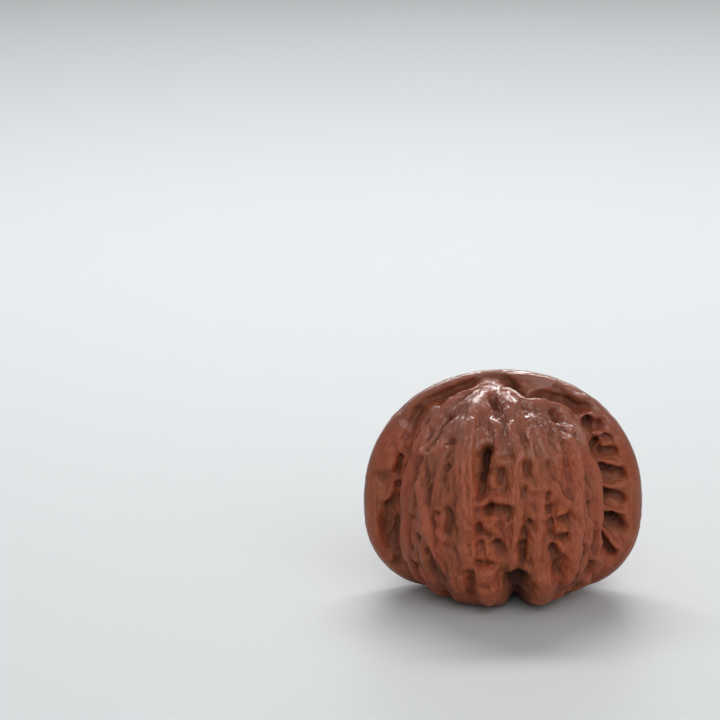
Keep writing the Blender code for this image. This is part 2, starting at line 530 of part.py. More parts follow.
def stroke_sum(points, strokes, profile):
    """The strokes' heights at the points, in metres, where strokes that overlap melt together."""
    total = np.zeros(len(points))
    for laid, half, height in strokes:
        if len(laid) < 2:
            continue
        path = np.array(laid)
        middle = path.mean(axis=0)
        radius = np.linalg.norm(path - middle, axis=1).max() + STROKE_REACH * half * MM
        near = np.nonzero(np.linalg.norm(points - middle, axis=1) < radius)[0]
        distance, passed = distance_to_path(points[near], path)
        total[near] += (height * MM * profile(distance / (half * MM), passed)) ** 3
    return np.cbrt(total)


def stirred(points, size, amount, seed):
    """Points moved by a smooth random field, which makes drawn outlines natural. Sizes in millimetres."""
    shift = Vector((seed * 13.7, seed * 5.1, seed * 9.3))
    moves = np.array([noise.noise_vector(Vector(p) / (size * MM) + shift) for p in points])
    return points + moves * amount * MM


def belly_places(points):
    """Coordinates, in metres, in which the belly's folds run from the tip to the foot."""
    high = np.clip((points[:, 2] - WAIST) / (HEIGHT - WAIST), 0, 1)
    across = points[:, 0] - TIP_LEAN * high**2
    radius = np.hypot(across, points[:, 1]) + 0.3 * MM
    spread = (radius / BELLY_HALF_WIDTH) ** FOLD_SPREAD * BELLY_HALF_WIDTH / radius
    return np.column_stack([across * spread, points[:, 1] * spread, points[:, 2] - 0.6 * radius])


def folds(points):
    """The net of folds between the strokes, from about -1 in a valley to 1 on a crest."""
    places = belly_places(points) / MM
    wide = places / (FOLD_WIDTH, FOLD_WIDTH, FOLD_LENGTH)
    fine = places / (CREASE_WIDTH, CREASE_WIDTH, CREASE_LENGTH)
    elsewhere = Vector((31.0, 7.0, 19.0))
    made = np.empty(len(points))
    for i in range(len(points)):
        crest = 1 - min(1, abs(noise.noise(Vector(wide[i]))) / FOLD_CREST)
        hollow = noise.noise(Vector(wide[i]) * 0.8 + elsewhere)
        crease = 0.55 * noise.noise(Vector(fine[i])) - 0.8 * abs(noise.noise(Vector(fine[i]) * 0.7))
        made[i] = 0.9 * crest**1.4 + 1.3 * hollow + CREASE_SHARE * crease - 0.3
    return made


def waves(points, size):
    """A soft unevenness of about that size in millimetres, from -1 to 1."""
    return np.array([noise.noise(Vector(p) / (size * MM)) for p in points])


def carve(nut):
    """Raises the ribs and sinks the pits of the round form."""
    mesh = nut.data
    bm = bmesh.new()
    bm.from_mesh(mesh)
    form = BVHTree.FromBMesh(bm)
    bm.free()
    ribs, pits = all_strokes(form)
    calm = [(seen_from_front(form, path), half, share) for path, half, share in FRONT_CALM]
    points = points_of(mesh)
    normals = normals_of(mesh)
    out = rim_outline(points[:, 0], points[:, 2] - WAIST)
    brim = np.clip((out - BRIM_FROM_OUT) / (BRIM_TO_OUT - BRIM_FROM_OUT), 0, 1)
    places = points
    for seed, (size, amount) in enumerate(WANDER, 1):
        places = stirred(places, size, amount, seed)
    places += (points - places) * BRIM_CALM * brim[:, None]
    relief = stroke_sum(places, ribs, rib_profile)
    sunk = stroke_sum(places, pits, pit_profile)
    belly = (1 - 0.93 * brim) * (1 - 0.4 * np.clip(relief / (0.8 * MM), 0, 1))
    belly *= 1 - np.clip(stroke_sum(points, calm, calm_profile) / MM, 0, 1)
    relief += folds(stirred(points, *FOLD_WANDER, 3)) * FOLD_HEIGHT * MM * belly
    relief += waves(points, LUMPS[0]) * LUMPS[1] * MM * belly
    relief += waves(points, BRIM_LUMPS[0]) * BRIM_LUMPS[1] * MM * brim * np.clip((0.96 - out) / 0.05, 0, 1)
    relief += waves(points, BRIM_WAVES[0]) * BRIM_WAVES[1] * MM * np.clip(1 - (out - 0.8) / 0.15, 0, 1)
    relief -= sunk
    seam = np.exp(-((points[:, 1] / (SEAM[0] * MM)) ** 2)) * np.clip((out - 0.9) / 0.05, 0, 1)
    relief -= SEAM[1] * MM * seam
    under = np.hypot(points[:, 0], points[:, 1]) / (STEM_HOLLOW[0] * MM)
    relief -= np.where(points[:, 2] < WAIST, STEM_HOLLOW[1] * MM * np.exp(-(under**3)), 0)
    moved = points + normals * relief[:, None]
    moved[:, 2] += UNDERCUT * np.clip(sunk, 0, None) * (1 - np.abs(normals[:, 2]))
    mesh.vertices.foreach_set("co", moved.ravel())
    mesh.update()


def stand(nut):
    """Sets the nut over the origin and cuts its lobes flat where they rest."""
    points = points_of(nut.data)
    low = points.min(axis=0)
    middle = (low + points.max(axis=0)) / 2
    bm = bmesh.new()
    bm.from_mesh(nut.data)
    bmesh.ops.translate(bm, verts=bm.verts[:], vec=(-middle[0], -middle[1], -low[2] - FLAT))
    whole = bm.verts[:] + bm.edges[:] + bm.faces[:]
    cut = bmesh.ops.bisect_plane(bm, geom=whole, plane_no=(0, 0, -1), clear_outer=True)
    edges = [e for e in cut["geom_cut"] if isinstance(e, bmesh.types.BMEdge)]
    bmesh.ops.holes_fill(bm, edges=edges)
    bmesh.ops.triangulate(bm, faces=bm.faces[:])
    for vert in bm.verts:
        if abs(vert.co.z) < 0.001 * MM:
            vert.co.z = 0.0
    bm.to_mesh(nut.data)
    bm.free()


def walnut(form_voxel, relief_voxel, triangles):
    """The finished nut, thinned to about so many triangles, or as fine as it comes if that is 0."""
    noise.seed_set(SEED)
    nut = round_form(form_voxel)
    carve(nut)
    remeshed(nut, relief_voxel, 1)
    without_bubbles(nut)
    if triangles:
        thin = nut.modifiers.new("Thin", "DECIMATE")
        thin.ratio = triangles / (2 * len(nut.data.polygons))
        bake(nut)
    stand(nut)
    return nut


def shell_material():
    shell = bpy.data.materials.new("shell")
    shell.use_nodes = True
    surface = shell.node_tree.nodes["Principled BSDF"]
    surface.inputs["Base Color"].default_value = (0.19, 0.062, 0.036, 1)
    surface.inputs["Roughness"].default_value = 0.38
    surface.inputs["Metallic"].default_value = 0.0
    return shell


def main():
    for obj in list(bpy.data.objects):
        bpy.data.objects.remove(obj)
    nut = walnut(FORM_VOXEL, RELIEF_VOXEL, TRIANGLES)
    nut.data.materials.append(shell_material())
    nut.data.shade_smooth()


if __name__ == "__main__":
    main()
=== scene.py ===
# %% [markdown]
# # A walnut with a wide seam rim
#
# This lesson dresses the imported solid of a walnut: the kind with a broad rim that people turn in the
# hand until it shines. The nut grew as one piece, so there is one mesh to make. It is built in the
# order in which one would carve it: a round form, the strokes of its ribs and pits, the skin between
# them, and then the colour and polish.

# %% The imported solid
import math
import random

import bmesh
import bpy
import numpy as np
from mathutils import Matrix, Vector, noise
from mathutils.bvhtree import BVHTree


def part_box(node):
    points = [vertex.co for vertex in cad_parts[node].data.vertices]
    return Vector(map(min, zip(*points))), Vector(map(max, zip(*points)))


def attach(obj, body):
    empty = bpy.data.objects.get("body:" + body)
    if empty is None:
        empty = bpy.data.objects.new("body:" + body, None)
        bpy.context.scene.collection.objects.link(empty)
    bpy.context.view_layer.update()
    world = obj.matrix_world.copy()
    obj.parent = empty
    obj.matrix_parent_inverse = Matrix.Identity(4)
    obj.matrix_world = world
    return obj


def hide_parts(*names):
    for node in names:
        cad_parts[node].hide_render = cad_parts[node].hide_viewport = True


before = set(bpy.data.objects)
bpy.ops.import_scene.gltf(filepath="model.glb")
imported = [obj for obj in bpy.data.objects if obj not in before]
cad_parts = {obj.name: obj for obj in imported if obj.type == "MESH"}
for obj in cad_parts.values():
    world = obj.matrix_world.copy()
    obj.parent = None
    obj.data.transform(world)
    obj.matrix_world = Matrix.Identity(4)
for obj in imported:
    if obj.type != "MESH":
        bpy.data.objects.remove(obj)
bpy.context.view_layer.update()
MM = 0.001
low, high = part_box("walnut")
print("packed solid, mm:", [round(v / MM, 1) for v in high - low])

# %% [markdown]
# ## The round form
#
# Seen from the front, the nut is a flattened ball inside a wide disc, its seam rim. A ball and a disc
# could be modelled apart and joined, but the seam between them would have to be hidden. A superellipse
# gives both outlines with one formula, so every point of a sphere is moved outwards until it lies on
# the larger of the two, and the change from one to the other is rounded.

# %% Sizes of the round form
WIDTH = 45.0 * MM  # across the seam rim
HEIGHT = 36.3 * MM  # from the foot to the top of the rim
THICKNESS = 36.0 * MM  # from belly to belly
WAIST = 15.0 * MM  # height of the widest line
RIM_HALF_THICKNESS = 3.0 * MM
BELLY_HALF_WIDTH = 15.9 * MM
BELLY_TOP = 34.1 * MM
RIM_FOOT = 16.6 * MM  # how far the curve of the rim's outline reaches below the waist
RIM_FOOT_CUT = 14.7 * MM  # where the outline is flattened before it gets there
RIM_FOOT_POWER = 24  # how tight the curve turns into the flat
BELLY_FOOT = 15.85 * MM  # how far the belly's outline reaches below the waist
RIM_POWERS = (2.1, 2.6)  # roundness of the rim's outline above and below the waist, 2 being an ellipse
RIM_EDGE_POWER = 3.2  # how square the rim's edge is
BELLY_POWERS = (2.0, 2.75)  # the same for the belly's outline, seen from the front
BELLY_SIDE_POWERS = (2.35, 3.1)  # and for its outline seen from the side
FILLET = 1.2 * MM  # where the belly runs into the rim
TURN_AT_WAIST = 0.25  # how gently the belly's roundness changes at the waist
FLAT = 0.35 * MM  # how deep the lobes are worn flat where they rest


# %% How far the form reaches
def rounded(a, b, power):
    """The superellipse sum of two lengths given as shares: 1 is on the outline."""
    return (np.abs(a) ** power + np.abs(b) ** power) ** (1 / power)


def rim_outline(x, z):
    """How far out (x, z) lies in the rim's outline, z being counted from the waist: 1 is on it."""
    above = z > 0
    height = np.where(above, HEIGHT - WAIST, RIM_FOOT)
    curve = rounded(x / (WIDTH / 2), z / height, np.where(above, *RIM_POWERS))
    return rounded(curve, np.clip(-z, 0, None) / RIM_FOOT_CUT, RIM_FOOT_POWER)


def form_reach(ways):
    """How far the round form reaches from the middle of its waist in each unit direction."""
    x, y, z = ways.T
    rim = rounded(rim_outline(x, z), y / RIM_HALF_THICKNESS, RIM_EDGE_POWER)
    above = 0.5 + 0.5 * np.tanh(z / TURN_AT_WAIST)
    front_power = BELLY_POWERS[1] + (BELLY_POWERS[0] - BELLY_POWERS[1]) * above
    side_power = BELLY_SIDE_POWERS[1] + (BELLY_SIDE_POWERS[0] - BELLY_SIDE_POWERS[1]) * above
    belly = rounded(x / BELLY_HALF_WIDTH, z / np.where(z > 0, BELLY_TOP - WAIST, BELLY_FOOT), front_power)
    belly = rounded(belly, y / (THICKNESS / 2), side_power)
    return (1 / rim + 1 / belly + np.sqrt((1 / rim - 1 / belly) ** 2 + FILLET**2)) / 2


# %% [markdown]
# ## A mesh with even faces
#
# A sphere whose points were moved has long faces on its rim, and they would show as soon as ribs are
# raised. The Remesh modifier builds the surface anew from small cubes. The result is what the modifiers
# make of the mesh, read through the dependency graph, so nothing has to be applied by hand.

# %% Helpers for meshes
def points_of(mesh, value="co"):
    """The mesh's points in metres, or with "normal" the ways the skin faces there, as rows of an array."""
    rows = np.empty(len(mesh.vertices) * 3)
    mesh.vertices.foreach_get(value, rows)
    return rows.reshape(-1, 3)


def move_points(mesh, places):
    """Moves the mesh's points to the places, given as rows of an array."""
    mesh.vertices.foreach_set("co", places.ravel())
    mesh.update()


def bake(nut):
    """Replaces the object's mesh by what its modifiers make of it."""
    graph = bpy.context.evaluated_depsgraph_get()
    graph.update()
    made = bpy.data.meshes.new_from_object(nut.evaluated_get(graph))
    nut.modifiers.clear()
    old = nut.data
    nut.data = made
    bpy.data.meshes.remove(old)


def remeshed(nut, voxel, smoothing):
    """Gives the object's mesh even square faces of about one voxel, then relaxes it."""
    even = nut.modifiers.new("Even", "REMESH")
    even.mode = "VOXEL"
    even.voxel_size = voxel
    relax = nut.modifiers.new("Relax", "SMOOTH")
    relax.factor = 0.5
    relax.iterations = smoothing
    bake(nut)


def without_bubbles(nut):
    """Removes the closed bubbles that stay inside where the walls of a deep pit meet."""
    bm = bmesh.new()
    bm.from_mesh(nut.data)
    start = max(bm.verts, key=lambda vert: vert.co.z)
    skin = {start}
    ends = [start]
    while ends:
        vert = ends.pop()
        for edge in vert.link_edges:
            other = edge.other_vert(vert)
            if other not in skin:
                skin.add(other)
                ends.append(other)
    inside = [vert for vert in bm.verts if vert not in skin]
    bmesh.ops.delete(bm, geom=inside, context="VERTS")
    bm.to_mesh(nut.data)
    bm.free()


def round_form(voxel):
    """The nut without its ribs and pits."""
    bm = bmesh.new()
    bmesh.ops.create_icosphere(bm, subdivisions=SPHERE_CUTS, radius=1.0)
    mesh = bpy.data.meshes.new("walnut")
    bm.to_mesh(mesh)
    bm.free()
    ways = points_of(mesh)
    ways /= np.linalg.norm(ways, axis=1, keepdims=True)
    places = ways * form_reach(ways)[:, None] + (0, 0, WAIST)
    move_points(mesh, places)
    nut = bpy.data.objects.new("walnut", mesh)
    bpy.context.scene.collection.objects.link(nut)
    remeshed(nut, voxel, FORM_SMOOTHING)
    return nut


# %% The form
SPHERE_CUTS = 6
FORM_SMOOTHING = 4
FORM_VOXEL = 0.34 * MM
RELIEF_VOXEL = 0.325 * MM
nut = round_form(FORM_VOXEL)
print("round form:", len(nut.data.vertices), "points")

# %% [markdown]
# ## Strokes
#
# The ribs and pits of a walnut have no rule that a texture could follow closely, so those that can be
# seen in front are drawn one by one. A stroke is a short path with a half width and a height. Its
# points are given as one sees them from the front, and a ray from the eye lays each point on the round
# form. The list is long, but each line is one feature that can be moved or deepened without touching
# the others.

# %% The front view
# The front view in which the front strokes are placed: an eye a little above the nut
EYE_DISTANCE = 600.0 * MM
EYE_ELEVATION = math.radians(17.0)
EYE_AIM = 17.0 * MM  # height that the eye looks at
EYE_UP = Vector((0, math.sin(EYE_ELEVATION), math.cos(EYE_ELEVATION)))
EYE_BACK = Vector((0, -math.cos(EYE_ELEVATION), math.sin(EYE_ELEVATION)))


# %% Ribs of the front
# A path of (across, up) points in millimetres, half width, and height or depth. Paths run downwards.
LEFT_MAIN_RIB = (
    (-2.2, 32.6), (-3.9, 29.7), (-5.4, 26), (-6, 22), (-6.1, 17), (-5.9, 11), (-5.7, 6), (-5.6, 1.5),
)
FRONT_RIBS = (
    # the broad left main rib, from the tip to the foot
    (LEFT_MAIN_RIB, 1.5, 0.9),
    # and the flutes on it
    (((-2.4, 32.6), (-4.4, 29.6), (-6.2, 26), (-7.1, 22), (-7.2, 17), (-6.9, 11), (-6.6, 6),
      (-6.3, 2)), 0.45, 1.1),
    (LEFT_MAIN_RIB, 0.45, 1.3),
    (((-2, 32.6), (-3.4, 29.8), (-4.5, 26), (-4.9, 22), (-5, 17), (-4.9, 11), (-4.7, 6),
      (-4.8, 1.5)), 0.45, 1.25),
    # the right main rib
    (((8.6, 28.6), (10.2, 25.5), (11.2, 21), (11.9, 16), (12.1, 10.5), (11.7, 6), (11, 2),
      (10.2, 0)), 0.95, 1.5),
    # ribs of the left side
    (((-11.6, 27), (-12.9, 22.5), (-13.4, 18), (-13.3, 14), (-12.4, 10), (-11.6, 7)), 0.8, 0.7),
    (((-10.2, 21), (-10.7, 17), (-11.3, 13)), 0.6, 0.5),
    (((-15, 23.2), (-15.2, 19), (-15.3, 15), (-16, 12), (-16.3, 8.5), (-16.1, 5), (-15.3, 2.2)), 0.7, 0.4),
    (((-12.9, 10), (-11.9, 7.8), (-11.2, 6), (-10.6, 3)), 0.6, 0.7),
    (((-10.9, 9.8), (-10.6, 7.6)), 0.35, 0.5),
    (((-9.7, 10.6), (-10.1, 7.6), (-9.4, 6.9)), 0.35, 0.5),
    # the rib between the two columns of pits
    (((0.8, 27), (1.4, 23.5), (2.7, 20.8), (2, 18), (1.8, 15), (2.5, 12.3), (2.2, 9), (1.7, 6), (1.7, 3),
      (0.9, 0.6)), 0.9, 0.8),
    # short ribs and bridges among the pits
    (((-1.9, 18), (-1.7, 16.4), (-1.4, 15.2)), 0.5, 0.9),
    (((-4.2, 12), (-2.8, 13.4), (-1.6, 13.7), (0.4, 13.2), (1.8, 12.4)), 0.7, 0.55),
    (((-2.4, 21.8), (-1.2, 20.3), (0.4, 19.8), (1.6, 20)), 0.8, 0.4),
    (((-3.2, 9.7), (-1.7, 9.3)), 0.7, 0.8),
    (((0.5, 10.2), (0.7, 8.8), (1.2, 7.6)), 0.5, 0.5),
    (((-2.4, 5.2), (-1.6, 4.3), (-0.6, 3.6)), 0.5, 0.7),
    (((6.3, 14.2), (6.4, 12.4), (6.4, 10.3), (5.6, 8.6), (5.1, 6.6), (5.4, 4), (5.9, 1.2)), 0.9, 0.7),
    (((8.2, 17.2), (8.9, 15.4), (10.2, 13.4), (11.6, 12.2)), 0.6, 0.6),
    (((4.6, 24), (4.4, 22), (5.2, 19), (5.8, 16.5)), 0.7, 0.5),
    (((3.4, 16.6), (4.6, 15.2), (5.8, 14.9)), 0.6, 0.5),
    (((9, 11.9), (9.4, 11.1)), 0.6, 0.8),
    (((8.8, 9.4), (9.3, 8.5)), 0.6, 0.9),
    (((9, 7), (10.2, 5.6), (10.8, 4)), 0.6, 0.6),
    (((-2.9, 1.6), (-3.6, 0.9)), 0.9, 0.4),
    # the lobes that the nut stands on
    (((-2.6, 3), (-2.5, 0.5), (-2.3, -1), (-2.2, -2.2), (-2.1, -2.7)), 1.7, 1.6),
    (((6.2, 2), (6.6, -0.4), (6.6, -1.4), (6.6, -2.4)), 1.6, 1.1),
    (((-7.2, 1.5), (-7.3, 0), (-7, -1.4)), 1.4, 0.5),
    # the shoulder lines that run together at the tip
    (((-2, 33.8), (-4.6, 31.9), (-7.4, 30.5), (-9.6, 29), (-12, 27.6)), 0.9, 1.1),
    (((-2, 33.8), (-0.2, 32.8), (1.4, 31.2), (3, 29.8), (6.2, 29.2), (9.6, 28.9), (11.4, 27.4),
      (12.8, 25.6)), 0.8, 1),
    (((-2, 33.4), (-2.2, 31.6), (-2.9, 29.6), (-3.2, 27)), 0.6, 0.5),
    (((-1.6, 33), (0.2, 31), (1, 29.4), (1.2, 27.4)), 0.6, 0.7),
    (((-6.6, 31), (-7.9, 29.4), (-8.9, 28.2)), 0.6, 0.4),
    # wrinkles that spread from the tip
    (((-2.6, 33), (-4.1, 31.3), (-5.9, 30), (-7.4, 28.6), (-8.9, 27.8), (-10.4, 26.6)), 0.35, 0.6),
    (((-2.5, 32.6), (-3.6, 30.8), (-4.6, 29.2), (-5.1, 27.6)), 0.35, 0.5),
    (((-1.6, 33.2), (-0.1, 32.2), (1.2, 31), (1.9, 29.8), (2.4, 28.5)), 0.45, 0.7),
    (((-1.8, 32.4), (-1.1, 31.3), (0.2, 29.8), (1.2, 28.5)), 0.35, 0.5),
    (((3.4, 27.2), (5.4, 27), (7.4, 26.4), (9, 26)), 0.45, 0.5),
    (((-9.8, 28.6), (-11.8, 27.2), (-13.4, 24.6)), 1.4, 1.2),
    (((-15.6, 22.2), (-14.4, 23.6), (-13, 25)), 0.8, 0.7),
    (((-15.6, 21), (-15.9, 18.6), (-15.6, 16.2)), 0.6, 0.5),
    # spokes across the right brim
    (((10.4, 30.9), (11.8, 30.9), (13.4, 30.3)), 0.5, 0.6),
    (((12.2, 27.8), (13.6, 27.9), (15.2, 27.5)), 0.5, 0.8),
    (((14, 25.2), (15.4, 25), (16.8, 24.9)), 0.5, 0.8),
    (((15.4, 23.2), (16.8, 22.9)), 0.4, 0.5),
    (((15.1, 20.6), (17, 20.2), (19.4, 19.9)), 0.55, 1),
    (((15.6, 16.4), (17.4, 16.2), (19.6, 16.6)), 0.6, 0.9),
    (((16, 13.4), (17.2, 12.6), (18.6, 12.3), (19.8, 12.6)), 0.55, 1.1),
    (((16.3, 9.9), (17.2, 8), (18.6, 6.2)), 0.6, 0.9),
    (((16, 5.4), (15.6, 3.4), (14.6, 2.2)), 0.45, 0.5),
    # lines along the left brim
    (((-16.9, 23), (-16.4, 21), (-16.2, 19)), 0.5, 0.5),
    (((-18.8, 22.6), (-18.2, 20.4), (-18.4, 18.4)), 0.8, 0.4),
    (((-20.3, 12.6), (-20.4, 10), (-19.9, 7)), 0.6, 0.6),
    (((-19.4, 13.4), (-18.2, 15), (-17.6, 16.8)), 0.5, 0.6),
)

# %% Pits of the front
FRONT_PITS = (
    # the long slit beside the left main rib
    (((-2.7, 21.9), (-3.1, 20.2), (-3.4, 18.4), (-3.5, 16.2)), 0.6, 4.6),
    (((-3.4, 17.2), (-3.6, 15.6), (-3.8, 13.4)), 0.6, 2.4),
    (((-3, 18.2), (-2.1, 17.9)), 0.5, 2.2),
    # the column of pits to its right
    (((-0.3, 17.9), (0.3, 15.6)), 0.8, 1.2),
    (((-2.1, 11.5), (-1.2, 12.1)), 0.75, 2.6),
    (((-0.6, 12), (1.2, 11.6)), 0.8, 1.2),
    (((-3.9, 9), (-3.2, 7.8), (-2.2, 7.6)), 0.7, 1.3),
    (((-0.7, 10.8), (-0.6, 8.6)), 0.5, 0.8),
    (((-1, 6.1), (-0.6, 5.4)), 0.8, 2.3),
    (((-3.5, 6.1), (-3.3, 5.4)), 0.8, 1.1),
    (((-3.4, 2.9), (-2.2, 2.9)), 0.8, 1),
    (((-2.9, 0.3), (-2, 0.2)), 0.6, 0.6),
    # the furrow that parts the two lobes
    (((3.6, 8.7), (3.8, 7.2)), 0.45, 2.2),
    (((4.6, 9.9), (5.1, 8.8)), 0.5, 1.8),
    (((3.3, 6.1), (3.4, 4)), 0.55, 1.9),
    (((3.3, 4), (3.1, 2.8), (2.8, 1.4)), 0.55, 1.1),
    (((2.6, 0), (2.5, -0.8), (2.4, -1.8)), 1.85, 3.6),
    (((-5, 2), (-4.9, 0), (-4.7, -1.8)), 0.6, 1.1),
    # the right column
    (((7.4, 14.5), (7.3, 13), (7.8, 11.8)), 0.45, 2.2),
    (((6.4, 14.5), (5.4, 14.2)), 0.35, 0.9),
    (((8.1, 12.5), (9, 12.5)), 0.4, 1.2),
    (((8, 10.4), (8, 9.2), (8.2, 7.8)), 0.42, 2),
    (((9.4, 10.3), (10.2, 10.4), (10.9, 11)), 0.6, 1.5),
    (((6.6, 9.9), (7.4, 9.6)), 0.5, 0.9),
    (((10.4, 7.9), (9, 7.4)), 0.5, 1.9),
    (((8.3, 5.9), (8.8, 4), (9, 1.9)), 0.8, 2),
    (((9.7, 15.2), (10.7, 13.9)), 0.4, 0.7),
    # shallower hollows higher up
    (((3.4, 19.6), (3.8, 18)), 0.6, 1.1),
    (((7.4, 19.7), (7.8, 18.3), (8.5, 17.2)), 0.6, 1.1),
    (((8.1, 24.8), (8, 23.2), (8.9, 21.6)), 0.6, 0.8),
    (((5.9, 21.4), (6.5, 19.4), (6.4, 17.6)), 0.4, 0.5),
    (((-1.8, 30.4), (-1.2, 29), (-0.7, 27.9)), 0.6, 1.6),
    (((-0.2, 27), (0.1, 25.4), (0, 23.8)), 0.45, 1.3),
    (((-0.9, 21), (0.3, 20.7)), 0.4, 0.5),
    (((10.9, 25.2), (11.2, 22.6)), 0.35, 0.5),
    # the left half of the belly
    (((-8.9, 23.4), (-8.3, 22.7)), 0.85, 1.1),
    (((-9.4, 27.4), (-10.1, 25.6)), 0.5, 1),
    (((-5.9, 28), (-6.3, 25.6)), 0.4, 0.6),
    (((-8.8, 21.3), (-9.7, 20.2)), 0.5, 0.7),
    (((-9.1, 18.9), (-9.4, 16.6), (-9.3, 14.9)), 0.7, 1),
    (((-12.3, 15.6), (-12.4, 13.4)), 0.5, 0.8),
    (((-14.3, 21.5), (-14.4, 17.5)), 0.4, 0.4),
    (((-7.8, 13.5), (-7.6, 11), (-7.7, 8)), 0.4, 0.6),
    (((-11, 11.4), (-10.3, 11.2)), 0.42, 1.6),
    (((-11.7, 10.7), (-11.2, 9.7)), 0.45, 1.7),
    (((-9, 11.3), (-8.8, 9.6), (-9.2, 8.4)), 0.9, 1.1),
    (((-8.9, 5.8), (-8.2, 5.7)), 0.5, 0.9),
    (((-15.3, 10.9), (-14, 10.6)), 0.4, 0.8),
    (((-13.9, 8), (-12.9, 6.9)), 0.9, 0.9),
    (((-12.2, 5.2), (-11.9, 4), (-11.8, 2.7)), 0.6, 1.5),
    (((-14.1, 3.2), (-13.4, 3.1)), 0.5, 0.6),
    (((-9.4, 3.2), (-8.8, 1.2)), 0.5, 0.6),
    # the crease outside the right main rib
    (((11.4, 24.8), (12.2, 21.4), (13, 18.6), (13.4, 15.8), (13.6, 12.9), (13.5, 10.5), (13.1, 8.2),
      (12.6, 5.4), (12, 2.5)), 0.45, 0.8),
    (((13.2, 5.6), (12.5, 3), (11.7, 0.8), (11, -0.6)), 0.9, 1.6),
    # where the left side narrows to the foot
    (((-11.4, 1.8), (-10.4, 0.4), (-9.6, -1.2)), 1.5, 1.2),
    # hollows between the belly's top and the rim
    (((-2.8, 34.2), (-4.4, 33.2), (-7, 32), (-10, 30.6), (-12.4, 29.4)), 1, 1.8),
    (((-1.4, 34.3), (0.4, 33.2), (2, 31.9), (4, 31), (7.4, 30.6), (10.2, 30.2)), 1.1, 2.2),
    (((1.8, 33.9), (4.4, 33.2), (7, 32.4)), 1.5, 0.7),
    (((8.8, 32.4), (9.4, 31.5)), 0.8, 1),
    (((-13.7, 27.9), (-14.3, 26.3)), 1.3, 1.6),
    (((-16.8, 28.6), (-16.2, 26.8)), 1, 0.45),
    # pits of the right brim, from the top down
    (((10.7, 29.8), (12, 29), (13.4, 28.9)), 0.75, 2),
    (((13.4, 26.9), (13.8, 26)), 0.7, 2.2),
    (((15.4, 26.6), (15.3, 25.9)), 0.6, 1.3),
    (((14.9, 23.5), (14.9, 22.3)), 0.6, 1.7),
    (((16.2, 24.4), (17.2, 23.9)), 0.5, 1.5),
    (((16, 22), (17.8, 21.9)), 0.65, 1.7),
    (((15.8, 19.2), (17.2, 18.6), (18.9, 18.4)), 0.85, 2.1),
    (((15.9, 17.6), (17.6, 17.4)), 0.6, 1.1),
    (((15.9, 15.4), (17.4, 14.8), (19, 14.3)), 0.75, 1.9),
    (((16.7, 11.3), (18, 11), (19, 9.6)), 0.95, 2.4),
    (((15.7, 9.2), (16.3, 7.4), (17.6, 5.8)), 0.7, 2.4),
    (((14, 5.2), (13.3, 3.9), (12.8, 3)), 0.6, 1.4),
    (((14, 14.6), (14.1, 12.6)), 0.4, 0.7),
    (((14, 11.2), (13.9, 9.8)), 0.45, 0.8),
    # hollows of the left brim
    (((-16.7, 20.9), (-16.9, 19.4), (-17, 18)), 0.4, 1.8),
    (((-16.9, 16.4), (-16.2, 16.2)), 0.6, 1.3),
    (((-20.6, 17.6), (-18.8, 17.2)), 1.1, 0.6),
    (((-18.6, 13), (-17.6, 13.6), (-16.6, 13.6)), 0.7, 1.2),
    (((-18.3, 12.4), (-18.5, 10), (-18.3, 7.8), (-17.9, 6)), 1.2, 1.5),
    (((-17.3, 11), (-17.2, 9.4), (-17.4, 7.4), (-17.1, 5.2), (-16.8, 3.8)), 0.7, 1.6),
)

# %% Calm places of the front
# The smooth places between the folds: a path as above, half width, and how much smoother, from 0 to 1.
FRONT_CALM = (
    (((-4.2, 29.6), (-5.8, 26), (-6.2, 20), (-6.1, 11), (-5.7, 3)), 2, 0.8),
    (((8.6, 28.6), (11.2, 21), (12, 14), (11.6, 6), (10.4, 1)), 1.3, 0.7),
    (((2.6, 26.5), (4.6, 22.5), (4.4, 18.5)), 2.6, 0.55),
    (((8.4, 27), (8.2, 21)), 2.2, 0.5),
    (((1.9, 18), (2.2, 9), (1.6, 2)), 0.9, 0.6),
    (((-11, 27.4), (-6.4, 29.6), (-1.8, 31.4), (3, 29.4), (8.4, 28.2)), 2.6, 0.9),
)
print("drawn in front:", len(FRONT_RIBS), "ribs,", len(FRONT_PITS), "pits,", len(FRONT_CALM), "calm places")

# %% Furrows underneath
# A path of (across, back) points in millimetres as seen from below, half width and depth.
UNDER_FURROWS = (
    (((2.4, -14), (2.2, -10), (0.8, -5)), 1.5, 2.6),
    (((-9, -11), (-4.5, -5.5)), 1, 1.2),
    (((9.6, -9.5), (5, -5)), 0.9, 1.2),
    (((-1.5, 15), (-0.8, 10), (0, 5)), 1.3, 2.2),
    (((9.5, 10.5), (5, 5)), 1, 1.3),
    (((-10, 9.5), (-5, 4.5)), 1, 1.3),
)


# %% Laying a path on the form
PATH_STEP, HIDDEN_PATH_STEP = 0.5, 0.6  # distance of a path's points in front and elsewhere, in millimetres


def smooth_path(points, step):
    """Points about one step apart on the Catmull-Rom curve through the given ones."""
    knots = [np.array(p, float) for p in points]
    knots = [2 * knots[0] - knots[1], *knots, 2 * knots[-1] - knots[-2]]
    path = []
    for a, b, c, d in zip(knots, knots[1:], knots[2:], knots[3:]):
        count = max(1, round(np.linalg.norm(c - b) / step))
        for k in range(count):
            t = k / count
            bend = (2 * a - 5 * b + 4 * c - d) * t**2 + (3 * b - a - 3 * c + d) * t**3
            path.append((2 * b + (c - a) * t + bend) / 2)
    path.append(knots[-2])
    return path


def seen_from_front(form, path):
    """Lays a path of the front view on the form, along the eye's rays."""
    eye = EYE_BACK * EYE_DISTANCE + EYE_UP * EYE_AIM
    laid = []
    for across, rise in smooth_path(path, PATH_STEP):
        aim = Vector((across * MM, 0, 0)) + EYE_UP * rise * MM
        place = form.ray_cast(eye, (aim - eye).normalized())[0]
        if place is not None:
            laid.append(place)
    return laid


